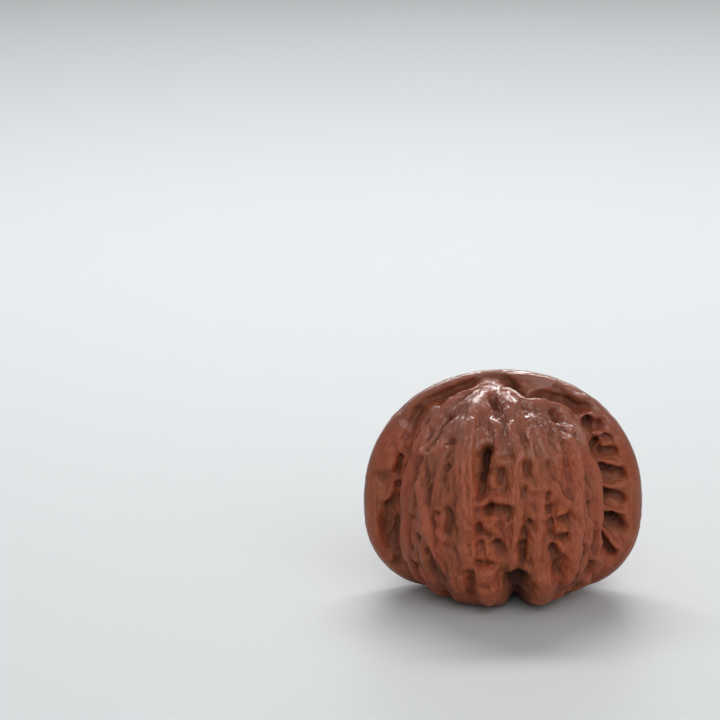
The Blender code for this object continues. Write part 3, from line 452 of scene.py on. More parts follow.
def seen_from_below(form, path):
    """Lays a path of (across, back) points on the underside."""
    up = Vector((0, 0, 1))
    starts = [Vector((x * MM, y * MM, -HEIGHT)) for x, y in smooth_path(path, HIDDEN_PATH_STEP)]
    laid = [form.ray_cast(start, up)[0] for start in starts]
    return [place for place in laid if place is not None]


# %% [markdown]
# ## The back and the sides
#
# What the front doesn't show is drawn by a rule with a fixed seed: main ribs from top to foot, columns
# of pits between them, and on the rim's face a row of pits with spokes between them. A random generator
# with its own seed gives the same nut every time.

# %% The rule
SEED = 3
BACK_RIBS = (118, 146, 171, 203, 232, 246)
SIDE_RIBS = (63, -66)
RIB_HALF_WIDTH = (0.8, 1.4)
RIB_HEIGHT = (0.8, 1.2)
RIB_SWAY = 3.5  # degrees
SWAY_START = (0, 6)
SWAY_LENGTH = 6  # the shorter, the more often a rib sways on its way down
RIB_BEYOND = (1.5, 1)  # how far the ribs run past the columns of pits, above and below
PIT_COLUMNS = (53, 71, 109, 132, 138, 158.5, 162, 181, 187, 194, 217.5, 224, 239, 255, -74, -54)
COLUMN_TOP = 31.5
COLUMN_DROP = (0, 2.5)
COLUMN_FOOT = 1.5
PIT_LENGTH = (1.2, 4.2)
PIT_GAP = (0.9, 1.8)
PIT_HALF_WIDTH = (0.45, 0.85)
PIT_DEPTH = (0.9, 2.5)
PIT_WANDER, PIT_LEAN = 3, 4.0  # degrees
FULL_DEPTH_FROM = 0.6  # a pit with a smaller half width is shallower
BRIM_FROM, BRIM_TO, BRIM_STEP = -28.0, 208.0, 10.5  # degrees round the rim: the brim's pits and their spacing
BRIM_PIT = (0.755, 0.875)  # inner and outer end, as shares of the way out to the rim's edge
BRIM_SPOKE = (0.74, 0.88)
BRIM_WANDER = 0.02
BRIM_SPREAD = (0.8, 1.25)  # how uneven the spacing is
BRIM_SKEW = 3.0
BRIM_LONGEST = 4.0 * MM  # a longer pit would run up the belly
BRIM_HALF_WIDTH = (0.55, 0.95)
BRIM_DEPTH = (1.2, 2.4)
SPOKE_HALF_WIDTH = 0.5
SPOKE_HEIGHT = (0.5, 0.9)


# %% Strokes by the rule
def seen_from_axis(form, path):
    """Lays a path of (degrees of longitude, height) points on the form, from outside inwards."""
    laid = []
    for longitude, height in smooth_path(path, HIDDEN_PATH_STEP):
        turn = math.radians(longitude)
        out = Vector((math.sin(turn), -math.cos(turn), 0))
        place = form.ray_cast(Vector((0, 0, height * MM)) + out * WIDTH, -out)[0]
        if place is not None:
            laid.append(place)
    return laid


def brim_place(form, angle, share):
    """A point of the back's brim: its angle round the rim in degrees from +X and its share of the way out."""
    turn = math.radians(angle)
    way = np.array([math.cos(turn), math.sin(turn)])
    x, z = way * share / rim_outline(*way)
    return form.ray_cast(Vector((x, THICKNESS, z + WAIST)), Vector((0, -1, 0)))[0]


def back_ribs(form, draw):
    """The main ribs of the back and the sides, from top to foot."""
    ribs = []
    for longitude in (*BACK_RIBS, *SIDE_RIBS):
        start = draw.uniform(*SWAY_START)
        heights = np.linspace(COLUMN_TOP + RIB_BEYOND[0], COLUMN_FOOT - RIB_BEYOND[1], 8)
        path = [(longitude + RIB_SWAY * math.sin(start + z / SWAY_LENGTH), z) for z in heights]
        ribs.append((seen_from_axis(form, path), draw.uniform(*RIB_HALF_WIDTH), draw.uniform(*RIB_HEIGHT)))
    return ribs


def back_pits(form, draw):
    """Columns of pits between the main ribs of the back and the sides."""
    pits = []
    for longitude in PIT_COLUMNS:
        height = COLUMN_TOP - draw.uniform(*COLUMN_DROP)
        while height > COLUMN_FOOT:
            length = draw.uniform(*PIT_LENGTH)
            top = longitude + draw.uniform(-PIT_WANDER, PIT_WANDER)
            foot = top + draw.uniform(-PIT_LEAN, PIT_LEAN)
            path = ((top, height), (foot, max(height - length, COLUMN_FOOT)))
            half = draw.uniform(*PIT_HALF_WIDTH)
            depth = draw.uniform(*PIT_DEPTH) * min(1, half / FULL_DEPTH_FROM)
            pits.append((seen_from_axis(form, path), half, depth))
            height -= length + draw.uniform(*PIT_GAP) + half
    return pits


def back_brim(form, draw):
    """The spokes and the pits between them on the brim of the back."""
    ribs = []
    pits = []
    angle = BRIM_FROM
    while angle < BRIM_TO:
        inner, outer = (share + draw.uniform(-BRIM_WANDER, BRIM_WANDER) for share in BRIM_PIT)
        skew = draw.uniform(-BRIM_SKEW, BRIM_SKEW)
        ends = [brim_place(form, angle + skew, inner), brim_place(form, angle - skew, outer)]
        pit = (ends, draw.uniform(*BRIM_HALF_WIDTH), draw.uniform(*BRIM_DEPTH))
        if (ends[0] - ends[1]).length < BRIM_LONGEST:
            pits.append(pit)
        spoke = angle + BRIM_STEP / 2
        ends = [brim_place(form, spoke, BRIM_SPOKE[0]), brim_place(form, spoke + skew, BRIM_SPOKE[1])]
        ribs.append((ends, SPOKE_HALF_WIDTH, draw.uniform(*SPOKE_HEIGHT)))
        angle += BRIM_STEP * draw.uniform(*BRIM_SPREAD)
    return ribs, pits


def laid_out(form, strokes, lay=seen_from_front):
    """The strokes with their paths laid on the form."""
    return [(lay(form, path), half, height) for path, half, height in strokes]


def all_strokes(form):
    """Every rib and every pit, each as (path laid on the form, half width, height or depth)."""
    draw = random.Random(SEED)
    ribs = laid_out(form, FRONT_RIBS)
    pits = laid_out(form, FRONT_PITS) + laid_out(form, UNDER_FURROWS, seen_from_below)
    ribs += back_ribs(form, draw)
    pits += back_pits(form, draw)
    spokes, brim_pits = back_brim(form, draw)
    return ribs + spokes, pits + brim_pits


# %% [markdown]
# ## From strokes to heights
#
# Each point of the mesh gets its height from its distance to the strokes' paths. A rib has a furrow
# along each side, and a pit is deepest at its upper end. Where strokes meet, the cube root of the sum
# of cubes lets the stronger one win without a crease. Before distances are measured, the points are
# stirred a little, so that no outline looks drawn with a compass.

# %% The skin's values
FOLD_WIDTH, FOLD_LENGTH, FOLD_HEIGHT = 1.7, 8.5, 0.42
FOLD_SPREAD = 0.15  # 0 draws the folds together towards the tip and the foot, 1 keeps their width
FOLD_SLOPE = 0.6  # how much of the way outwards counts as a way down
TIP_LEAN = -2.1 * MM  # how far to one side the tip stands
TIP_RADIUS = 0.3 * MM  # keeps the folds apart at the very tip
FOLD_CREST, CREST_POWER, CREST_SHARE = 0.32, 1.4, 0.9  # width as a level of the noise, sharpness, share
HOLLOW_SCALE, HOLLOW_SHARE, HOLLOW_SHIFT = 0.8, 1.3, (31.0, 7.0, 19.0)
CREASE_ROUND, CREASE_SHARP, CREASE_SHARP_SCALE = 0.55, 0.8, 0.7
FOLD_LEVEL = 0.3  # how far the whole net is lowered
SEED_STEPS = (13.7, 5.1, 9.3)  # each seed moves the random field by this much
CREASE_WIDTH, CREASE_LENGTH, CREASE_SHARE = 0.75, 4.5, 0.75
WANDER = ((2.4, 0.4), (0.8, 0.25))  # size and amount by which the strokes' outlines wander, coarse and fine
FOLD_WANDER = (3.5, 0.8)
BRIM_CALM = 0.55  # how much less they wander on the brim
BRIM_FROM_OUT, BRIM_TO_OUT = 0.7, 0.9  # where the belly gives way to the brim, as shares of the way out
LUMPS = (1.2, 0.24)  # size and height of the unevenness of the bellies
BRIM_LUMPS = (1.5, 0.5)  # the same for the brim
BRIM_WAVES = (3.2, 0.5)  # size and height of the unevenness of the rim's faces
SEAM = (0.45, 0.3)  # half width and depth of the fine groove along the rim's edge, where the halves meet
UNDERCUT = 0.4  # how far a pit runs up under its upper edge, as a share of its depth
RIB_POWER, PIT_POWER = 2.4, 2.1  # how flat a rib's crest and a pit's floor are
RIB_END, RIB_END_POWER = 0.12, 0.7  # share of a rib's length on which its ends rise
PIT_TOP, PIT_FALL = 1.1, 0.4  # a pit's depth at its upper end, and how much less it is at the lower one
# Beside a rib and round a pit: height as a share of the stroke's own, distance and width in half widths
FURROW, FURROW_AT, FURROW_WIDTH = 0.28, 1.75, 0.5
LIP, LIP_AT, LIP_WIDTH = 0.05, 1.55, 0.4
STROKE_REACH = 2.8  # half widths from a stroke's middle line at which it has died out
STEM_HOLLOW = (6.5, 2.4)  # half width and depth of the hollow underneath


# %% Heights of strokes
def distance_to_path(points, path):
    """The distance of each point to a polyline, and how far along the polyline it lies, from 0 to 1."""
    nearest = np.full(len(points), np.inf)
    passed = np.zeros(len(points))
    for k, (a, b) in enumerate(zip(path, path[1:])):
        along = b - a
        share = np.clip((points - a) @ along / max(along @ along, 1e-12), 0, 1)
        distance = np.linalg.norm(points - a - share[:, None] * along, axis=1)
        passed = np.where(distance < nearest, (k + share) / (len(path) - 1), passed)
        nearest = np.minimum(nearest, distance)
    return nearest, passed


def rib_profile(share, passed):
    """Height across a rib, with a furrow along each side; share is the distance in half widths."""
    ends = np.clip(np.minimum(passed, 1 - passed) / RIB_END, 0, 1) ** RIB_END_POWER
    furrow = FURROW * np.exp(-(((share - FURROW_AT) / FURROW_WIDTH) ** 2))
    return ends * (np.exp(-(share**RIB_POWER)) - furrow)


def pit_profile(share, passed):
    """Depth across a pit, with a low lip round it. A pit is deepest at its upper end."""
    lip = LIP * np.exp(-(((share - LIP_AT) / LIP_WIDTH) ** 2))
    return (PIT_TOP - PIT_FALL * passed) * np.exp(-(share**PIT_POWER)) - lip


def calm_profile(share, passed):
    return np.exp(-(share**4))


def stroke_sum(points, strokes, profile):
    """The strokes' heights at the points, in metres, where strokes that overlap melt together."""
    total = np.zeros(len(points))
    for laid, half, height in strokes:
        if len(laid) < 2:
            continue
        path = np.array(laid)
        middle = path.mean(axis=0)
        radius = np.linalg.norm(path - middle, axis=1).max() + STROKE_REACH * half * MM
        near = np.nonzero(np.linalg.norm(points - middle, axis=1) < radius)[0]
        distance, passed = distance_to_path(points[near], path)
        total[near] += (height * MM * profile(distance / (half * MM), passed)) ** 3
    return np.cbrt(total)


# %% Natural unevenness
def stirred(points, size, amount, seed):
    """Points moved by a smooth random field, which makes drawn outlines natural. Sizes in millimetres."""
    shift = Vector([seed * step for step in SEED_STEPS])
    moves = np.array([noise.noise_vector(Vector(p) / (size * MM) + shift) for p in points])
    return points + moves * amount * MM


def belly_places(points):
    """Coordinates in which the belly's folds run from tip to foot: round, round and down, in metres."""
    high = np.clip((points[:, 2] - WAIST) / (HEIGHT - WAIST), 0, 1)
    across = points[:, 0] - TIP_LEAN * high**2
    radius = np.hypot(across, points[:, 1]) + TIP_RADIUS
    spread = (radius / BELLY_HALF_WIDTH) ** FOLD_SPREAD * BELLY_HALF_WIDTH / radius
    return np.column_stack([across * spread, points[:, 1] * spread, points[:, 2] - FOLD_SLOPE * radius])


def folds(points):
    """The net of folds on the belly between the strokes, from about -1 in a valley to 1 on a crest."""
    places = belly_places(points) / MM
    wide = places / (FOLD_WIDTH, FOLD_WIDTH, FOLD_LENGTH)
    fine = places / (CREASE_WIDTH, CREASE_WIDTH, CREASE_LENGTH)
    elsewhere = Vector(HOLLOW_SHIFT)
    made = np.empty(len(points))
    for i in range(len(points)):
        crest = 1 - min(1, abs(noise.noise(Vector(wide[i]))) / FOLD_CREST)
        hollow = noise.noise(Vector(wide[i]) * HOLLOW_SCALE + elsewhere)
        crease = CREASE_ROUND * noise.noise(Vector(fine[i]))
        crease -= CREASE_SHARP * abs(noise.noise(Vector(fine[i]) * CREASE_SHARP_SCALE))
        made[i] = CREST_SHARE * crest**CREST_POWER + HOLLOW_SHARE * hollow
        made[i] += CREASE_SHARE * crease - FOLD_LEVEL
    return made


def waves(points, size, height):
    """A soft unevenness of about that size and height, both given in millimetres."""
    return np.array([noise.noise(Vector(p) / (size * MM)) for p in points]) * height * MM


# %% The strokes, laid
# The tree answers where a ray meets the round form, and which of its points is nearest.
bm = bmesh.new()
bm.from_mesh(nut.data)
form = BVHTree.FromBMesh(bm)
bm.free()
noise.seed_set(SEED)
ribs, pits = all_strokes(form)
calm = laid_out(form, FRONT_CALM)
print("strokes:", len(ribs), "ribs and", len(pits), "pits")

# %% [markdown]
# ## Carving
#
# All heights are added up, and every point moves by its own along the way its skin faces. That could be
# done by a Displace modifier with a texture, but the strokes are no texture. The walls of deep pits are
# stretched by it, so the Remesh modifier evens the faces once more. Where the walls of a pit meet, a
# closed bubble can stay inside the nut, and it is removed.

# %% Carving
BRIM_SMOOTH = 0.93  # how much of the folds is lost on the brim
RIB_SMOOTH = 0.4  # how much of them is lost on a rib
RIB_FULL = 0.8 * MM  # height from which a rib counts as a full one
BRIM_LUMPS_END, BRIM_LUMPS_FADE = 0.96, 0.05  # where the brim's lumps end, as a share of the way out
BRIM_WAVES_FROM, BRIM_WAVES_FADE = 0.8, 0.15  # where its waves fade
SEAM_FROM, SEAM_FADE = 0.9, 0.05  # where the seam's groove begins


def ramped(values, start, length):
    """0 up to the start, 1 after the length, and even between them."""
    return np.clip((values - start) / length, 0, 1)


def way_out(points):
    """How far out each point lies in the front view: 0 in the middle and 1 on the rim's edge."""
    return rim_outline(points[:, 0], points[:, 2] - WAIST)


def brim_share(out):
    """0 on the belly, 1 on the brim, and even between them."""
    return ramped(out, BRIM_FROM_OUT, BRIM_TO_OUT - BRIM_FROM_OUT)


def carve(nut):
    """Raises the ribs and sinks the pits of the round form."""
    mesh = nut.data
    points = points_of(mesh)
    normals = points_of(mesh, "normal")
    out = way_out(points)
    brim = brim_share(out)
    places = points
    for seed, (size, amount) in enumerate(WANDER, 1):
        places = stirred(places, size, amount, seed)
    places += (points - places) * BRIM_CALM * brim[:, None]
    relief = stroke_sum(places, ribs, rib_profile)
    sunk = stroke_sum(places, pits, pit_profile)
    belly = (1 - BRIM_SMOOTH * brim) * (1 - RIB_SMOOTH * ramped(relief, 0, RIB_FULL))
    belly *= 1 - np.clip(stroke_sum(points, calm, calm_profile) / MM, 0, 1)
    relief += folds(stirred(points, *FOLD_WANDER, 3)) * FOLD_HEIGHT * MM * belly
    relief += waves(points, *LUMPS) * belly
    relief += waves(points, *BRIM_LUMPS) * brim * ramped(-out, -BRIM_LUMPS_END, BRIM_LUMPS_FADE)
    relief += waves(points, *BRIM_WAVES) * (1 - ramped(out, BRIM_WAVES_FROM, BRIM_WAVES_FADE))
    relief -= sunk
    seam = np.exp(-((points[:, 1] / (SEAM[0] * MM)) ** 2)) * ramped(out, SEAM_FROM, SEAM_FADE)
    relief -= SEAM[1] * MM * seam
    under = np.hypot(points[:, 0], points[:, 1]) / (STEM_HOLLOW[0] * MM)
    relief -= np.where(points[:, 2] < WAIST, STEM_HOLLOW[1] * MM * np.exp(-(under**3)), 0)
    moved = points + normals * relief[:, None]
    moved[:, 2] += UNDERCUT * np.clip(sunk, 0, None) * (1 - np.abs(normals[:, 2]))
    move_points(mesh, moved)


carve(nut)
remeshed(nut, RELIEF_VOXEL, 1)
without_bubbles(nut)
print("carved:", len(nut.data.vertices), "points")

# %% [markdown]
# ## Fine creases
#
# The Remesh modifier rounds off whatever is smaller than its cubes. The finest creases are therefore
# raised after it, on the even mesh. They are the shell's fibres: a noise that is stretched from tip to
# foot, folded at its middle so that it has sharp valleys. Near the tip the fibres are long and fan out,
# and lower down they are short.

# %% Creases
FIBRE_WIDTH, FIBRE_LENGTH, FIBRE_HEIGHT = 0.6, 2.6, 0.2  # in millimetres
TIP_FIBRE_WIDTH, TIP_FIBRE_LENGTH, TIP_FIBRE_HEIGHT = 0.8, 9.0, 0.3
FIBRE_WANDER = (1.6, 0.5)  # size and amount by which they wander
RIM_FIBRES = 0.2  # how much of their height is left on the rim
TIP_FROM, TIP_FADE = 24.0 * MM, 4.0 * MM  # height from which the long fibres of the tip take over


def fibre_heights(places, width, length):
    """The folded noise at the places, from about -1 in a valley to 0.5 on a fibre."""
    stretched = places / (width, width, length)
    return np.array([0.5 - 2 * abs(noise.noise(Vector(p))) for p in stretched])


def crease(nut):
    """Raises fine fibres on the bellies; the rim stays nearly smooth."""
    mesh = nut.data
    points = points_of(mesh)
    belly = 1 - (1 - RIM_FIBRES) * brim_share(way_out(points))
    places = belly_places(stirred(points, *FIBRE_WANDER, 4)) / MM
    tip = ramped(points[:, 2], TIP_FROM, TIP_FADE)
    fibres = FIBRE_HEIGHT * (1 - tip) * fibre_heights(places, FIBRE_WIDTH, FIBRE_LENGTH)
    fibres += TIP_FIBRE_HEIGHT * tip * fibre_heights(places, TIP_FIBRE_WIDTH, TIP_FIBRE_LENGTH)
    points += points_of(mesh, "normal") * (fibres * belly * MM)[:, None]
    move_points(mesh, points)
    print("fibres, mm: from", round(float(fibres.min()), 2), "to", round(float(fibres.max()), 2))


crease(nut)

# %% [markdown]
# ## What the colour needs to know
#
# A handled walnut is reddest and glossiest where fingers rub it, and dull and brown where they don't
# reach. Its colour is also darkened as painted shade in the pits, most in the deepest ones, and in the
# creases. The material therefore needs to know how high each point stands. That could be read from a
# picture baked on the mesh. Here a few numbers are stored with each point instead: its height over the
# round form, how sharp the crest or the crease under it is, how much the hand polishes it, and how
# close it lies to the orange grains that are left in some pits. Its place along and across the fibres
# is stored too, because they bend with the shell and no straight pattern could follow them.

# %% Numbers stored with the points
FIBRE_STRETCH = 7.0  # length of a fibre over its width
FIBRE_GAP = 0.04  # on this share of the way out, between belly and rim, the fibres fade out
RIM_WIDTH = WIDTH / 2 / MM
POLISH_FROM, POLISH_FADE = 24.0 * MM, 5.0 * MM  # height from which the tip is polished
EDGE_POLISH_FROM, EDGE_POLISH_FADE = 0.955, 0.02  # the same for the rim's edge, as shares of the way out
POLISH_LEAST = 0.12
CREST_STEP = 0.03 * MM  # a point that stands out by this much from its neighbours counts as 1
CREST_ROUNDS = 5
GRAIN_WANDER = (1.5, 0.8)  # size and amount by which the grains' outlines wander


def store(mesh, name, values):
    """Stores one number with each point, where a material can read it by its name."""
    layer = mesh.attributes.new(name, "FLOAT", "POINT")
    layer.data.foreach_set("value", values.astype(np.float32))
    print(name, "from", round(float(values.min()), 2), "to", round(float(values.max()), 2))


def height_over_form(points):
    """Signed distance to the round form, in millimetres."""
    heights = []
    for p in points:
        nearest, outwards, _, _ = form.find_nearest(Vector(p))
        heights.append((Vector(p) - nearest).dot(outwards))
    return np.array(heights) / MM


def sharpness(mesh, points, rounds):
    """How much each point stands out from its neighbours: above 0 on a crest, below 0 in a crease."""
    ends = np.empty(len(mesh.edges) * 2, int)
    mesh.edges.foreach_get("vertices", ends)
    a, b = ends.reshape(-1, 2).T
    ties = np.bincount(a, minlength=len(points)) + np.bincount(b, minlength=len(points))

    def near(values):
        total = np.bincount(a, values[b], len(points)) + np.bincount(b, values[a], len(points))
        return total / ties

    middles = np.column_stack([near(points[:, k]) for k in range(3)])
    stand_out = ((points - middles) * points_of(mesh, "normal")).sum(axis=1) / CREST_STEP
    for _ in range(rounds):
        stand_out = (stand_out + near(stand_out)) / 2
    return stand_out


def fibre_places(points):
    """Places in which fibres of size 1 are one millimetre wide: down the bellies and round the rim.

    The second result is 0 on the border of the two, where the fibres fade out, and 1 away from it.
    """
    out = way_out(points)
    angle = np.arctan2(points[:, 0], points[:, 2] - WAIST)
    belly = belly_places(points) / MM * (1, 1, 1 / FIBRE_STRETCH)
    rim = np.column_stack([out * RIM_WIDTH, points[:, 1] / MM, angle * RIM_WIDTH / FIBRE_STRETCH])
    share = ramped(np.abs(out - BRIM_TO_OUT), 0, FIBRE_GAP)
    return np.where((out > BRIM_TO_OUT)[:, None], rim, belly), share


def polish(points):
    """How much the hand has polished each point: most round the tip and along the rim's edge."""
    tip = ramped(points[:, 2], POLISH_FROM, POLISH_FADE)
    edge = ramped(way_out(points), EDGE_POLISH_FROM, EDGE_POLISH_FADE)
    return POLISH_LEAST + (1 - POLISH_LEAST) * np.maximum(tip, edge)


# %% Orange grains in the pits
# A path of (across, up) points in the front view, the half width of the patch, and how strongly it shows.
ORANGE_GRAINS = (
    (((-2.2, 10.2), (-1.6, 8.8)), 0.9, 1),
    (((-2.7, 5.6), (-2.3, 4.6)), 0.8, 0.9),
    (((9.4, 12), (9.5, 11)), 0.8, 1),
    (((9.2, 9.2), (9.4, 8.3)), 0.8, 1),
    (((9, 6.8), (9.6, 5.4)), 0.8, 0.7),
    (((-0.9, 3.4), (-1.6, 4.4)), 0.8, 0.6),
    (((-2.8, 19.4), (-2.3, 17.8)), 0.7, 0.6),
    (((-1.8, 17.8), (-1.5, 15.6)), 0.6, 0.5),
    (((8, 15.4), (8.6, 14.4)), 0.7, 0.5),
    (((-16.6, 14.8), (-15.9, 14.4)), 0.7, 0.6),
    (((-16.6, 19.6), (-16, 18.8)), 0.7, 0.5),
    (((4.6, 7.4), (4.9, 4)), 0.7, 0.5),
    (((-3.2, 1.8), (-2.4, 0.6)), 1, 0.4),
)


def grain_profile(share, passed):
    return np.exp(-(share**2))


# %% Storing them
points = points_of(nut.data)
store(nut.data, "height", height_over_form(points))
store(nut.data, "crest", sharpness(nut.data, points, CREST_ROUNDS))
places, share = fibre_places(points)
layer = nut.data.attributes.new("fibres", "FLOAT_VECTOR", "POINT")
layer.data.foreach_set("vector", places.astype(np.float32).ravel())
store(nut.data, "fibre_share", share)
store(nut.data, "polish", polish(points))
grains = laid_out(form, ORANGE_GRAINS)
patches = stroke_sum(stirred(points, *GRAIN_WANDER, 5), grains, grain_profile)
store(nut.data, "grain", patches / MM)

# %% [markdown]
# ## Standing on its foot
#
# The nut is set over the origin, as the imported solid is, and its lobes are cut flat where they rest.

# %% Stand
def stand(nut):
    """Sets the nut over the origin and cuts its lobes flat where they rest."""
    points = points_of(nut.data)
    low = points.min(axis=0)
    middle = (low + points.max(axis=0)) / 2
    bm = bmesh.new()
    bm.from_mesh(nut.data)
    bmesh.ops.translate(bm, verts=bm.verts[:], vec=(-middle[0], -middle[1], -low[2] - FLAT))
    whole = bm.verts[:] + bm.edges[:] + bm.faces[:]
    cut = bmesh.ops.bisect_plane(bm, geom=whole, plane_no=(0, 0, -1), clear_outer=True)
    edges = [e for e in cut["geom_cut"] if isinstance(e, bmesh.types.BMEdge)]
    bmesh.ops.holes_fill(bm, edges=edges)
    bmesh.ops.triangulate(bm, faces=bm.faces[:])
    bm.to_mesh(nut.data)
    bm.free()


stand(nut)
nut.data.shade_smooth()
nut.name = "walnut_shell"
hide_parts("walnut")
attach(nut, "root")
print("triangles:", len(nut.data.polygons))

# %% [markdown]
# ## Colour and polish
#
# The shell's colour is a red brown that changes in soft patches and in thin streaks along the fibres.
# The stored numbers then pull it towards dark brown in the pits, partly the shell's own tone and partly
# painted shade, towards a nearly black painted shade in the deepest pits and a dark painted shade in
# the creases, towards red on the crests, towards a browner tone where the hand has oiled it, and
# towards orange on the grains. Each pull is one line of a table, so the colours can be changed without
# touching a node.
#
# The polish is in two layers. The base is rough in the pits and smooth where it is polished, and
# because a bump map tilts it, its glints break up along the fibres. A coat over it stands for the
# hand's oil. It ignores the bump map and alone would look like lacquer, so it gets less than full weight.

# %% Helpers for materials
def add(tree, kind, **settings):
    """A node of that kind with its properties and inputs set. In a name _ stands for a space, and an input
    that is given as a socket is linked."""
    node = tree.nodes.new(kind)
    for name, value in settings.items():
        if hasattr(node, name):
            setattr(node, name, value)
        else:
            plug(tree, node.inputs[name.replace("_", " ")], value)
    return node


def plug(tree, socket, value):
    """Links a socket to another one, or sets it to a plain value."""
    if isinstance(value, bpy.types.NodeSocket):
        tree.links.new(value, socket)
    else:
        socket.default_value = value


def ramp(tree, source, low, high):
    """0 below low, 1 above high, and smooth between them."""
    settings = {"interpolation_type": "SMOOTHSTEP", "From_Min": low, "From_Max": high}
    return add(tree, "ShaderNodeMapRange", Value=source, **settings).outputs["Result"]


def mixed(tree, share, a, b):
    """Colour a, with that share of colour b."""
    node = add(tree, "ShaderNodeMix", data_type="RGBA")
    plug(tree, node.inputs[0], share)
    plug(tree, node.inputs[6], a)
    plug(tree, node.inputs[7], b)
    return node.outputs[2]


def product(tree, a, b, operation="MULTIPLY"):
    """The product of two values, or what another operation makes of them."""
    node = add(tree, "ShaderNodeMath", operation=operation)
    plug(tree, node.inputs[0], a)
    plug(tree, node.inputs[1], b)
    return node.outputs[0]


def stored(tree, name):
    """A number that was stored with the points."""
    return add(tree, "ShaderNodeAttribute", attribute_name=name).outputs["Fac"]


def noise_value(tree, place, size, detail, roughness=0.5):
    """A soft noise from 0 to 1 at the place."""
    node = add(tree, "ShaderNodeTexNoise", Vector=place, Scale=size, Detail=detail, Roughness=roughness)
    return node.outputs["Fac"]


# %% The shell's colours
RED_BROWN = (0.304, 0.059, 0.023, 1)
WARM_BROWN = (0.279, 0.075, 0.026, 1)
CREST_RED = (0.355, 0.084, 0.035, 1)
FIBRE_TAN = (0.364, 0.104, 0.041, 1)
STREAK_BROWN = (0.211, 0.044, 0.017, 1)
# the pits' browner tone: partly the shell's own, partly painted shade
PIT_TONE_AND_SHADE = (0.170, 0.052, 0.023, 1)
# painted shade for the creases
CREASE_SHADE = (0.105, 0.026, 0.011, 1)
GRAIN_ORANGE = (0.373, 0.092, 0.030, 1)
OILED_BROWN = (0.200, 0.058, 0.036, 1)
# painted shade: nearly black, pulled in where the pits are deepest
DEPTH_SHADE = (0.036, 0.013, 0.006, 1)

# Streaks along the fibres: the noise where they begin and where they are full, strength and colour
STREAKS = (
    (0.5, 0.68, 0.8, STREAK_BROWN),
    (0.47, 0.32, 0.6, FIBRE_TAN),
)
# Pulls by a stored number: where they begin and where they are full, strength and colour
PULLS = (
    ("height", 0.0, 0.8, 0.7, CREST_RED),
    # the pits: partly their own browner tone, partly painted shade
    ("height", -0.15, -1.3, 0.8, PIT_TONE_AND_SHADE),
    # painted shade in the deepest pits
    ("height", -1.4, -3.0, 0.9, DEPTH_SHADE),
    ("crest", 0.1, 0.8, 0.45, CREST_RED),
    # painted shade in the creases
    ("crest", -0.1, -0.9, 0.5, CREASE_SHADE),
    ("polish", 0.4, 1.0, 0.3, OILED_BROWN),
    ("grain", 0.15, 0.75, 1.0, GRAIN_ORANGE),
)
PATCH_SCALE = 160.0  # patches of about 6 mm
PATCH_EDGE = (0.4, 0.62)
STREAK_SCALE = 1.0  # streaks of one millimetre, as the fibre places count


def shell_colour(tree, place, fibre_place):
    """Patches of two browns, with streaks along the fibres and the pulls of the stored numbers."""
    patches = noise_value(tree, place, PATCH_SCALE, detail=3.0)
    streaks = noise_value(tree, fibre_place, STREAK_SCALE, detail=4.0)
    shown = stored(tree, "fibre_share")
    colour = mixed(tree, ramp(tree, patches, *PATCH_EDGE), RED_BROWN, WARM_BROWN)
    for start, full, strength, tone in STREAKS:
        share = product(tree, ramp(tree, streaks, start, full), strength)
        colour = mixed(tree, product(tree, share, shown), colour, tone)
    for name, start, full, strength, tone in PULLS:
        share = product(tree, ramp(tree, stored(tree, name), start, full), strength)
        colour = mixed(tree, share, colour, tone)
    return colour


# %% The shell's gloss
GLOSS_FULL, GLOSS_GONE = -0.1, -1.2  # heights over the form, in millimetres
ROUGHNESS_DULL, ROUGHNESS_POLISHED = 0.6, 0.16
SPECULAR_LEVEL = 0.4
COAT_WEIGHT, COAT_ROUGHNESS, COAT_IOR = 0.7, 0.15, 1.5


def set_gloss(tree, surface):
    """The polished base and the coat of oil over it, both gone in the pits."""
    sunk = ramp(tree, stored(tree, "height"), GLOSS_FULL, GLOSS_GONE)
    gloss = product(tree, product(tree, 1.0, sunk, "SUBTRACT"), stored(tree, "polish"))
    roughness = add(tree, "ShaderNodeMapRange", Value=gloss, To_Min=ROUGHNESS_DULL, To_Max=ROUGHNESS_POLISHED)
    plug(tree, surface.inputs["Roughness"], roughness.outputs["Result"])
    plug(tree, surface.inputs["Coat Weight"], product(tree, gloss, COAT_WEIGHT))
    surface.inputs["Specular IOR Level"].default_value = SPECULAR_LEVEL
    surface.inputs["Coat Roughness"].default_value = COAT_ROUGHNESS
    surface.inputs["Coat IOR"].default_value = COAT_IOR


# %% The shell's fine grain
FIBRE_SCALE, FIBRE_DETAIL, FIBRE_ROUGHNESS = 0.75, 5.0, 0.65
FIBRE_BUMP = 5.0
PORE_SCALE = 1600.0  # pores of about 0.6 mm and less
PORE_BUMP = 0.5
BUMP_STRENGTH = 0.9
BUMP_DEPTH = 0.3 * MM


def set_grain(tree, surface, place, fibre_place):
    """Fibres and pores that are too fine for the mesh."""
    fibres = noise_value(tree, fibre_place, FIBRE_SCALE, FIBRE_DETAIL, FIBRE_ROUGHNESS)
    valleys = product(tree, product(tree, fibres, 0.5, "SUBTRACT"), 0.0, "ABSOLUTE")
    valleys = product(tree, valleys, stored(tree, "fibre_share"))
    pores = noise_value(tree, place, PORE_SCALE, detail=3.0)
    bumps = product(tree, product(tree, pores, PORE_BUMP), product(tree, valleys, FIBRE_BUMP), "SUBTRACT")
    bump = add(tree, "ShaderNodeBump", Height=bumps, Strength=BUMP_STRENGTH, Distance=BUMP_DEPTH)
    plug(tree, surface.inputs["Normal"], bump.outputs["Normal"])


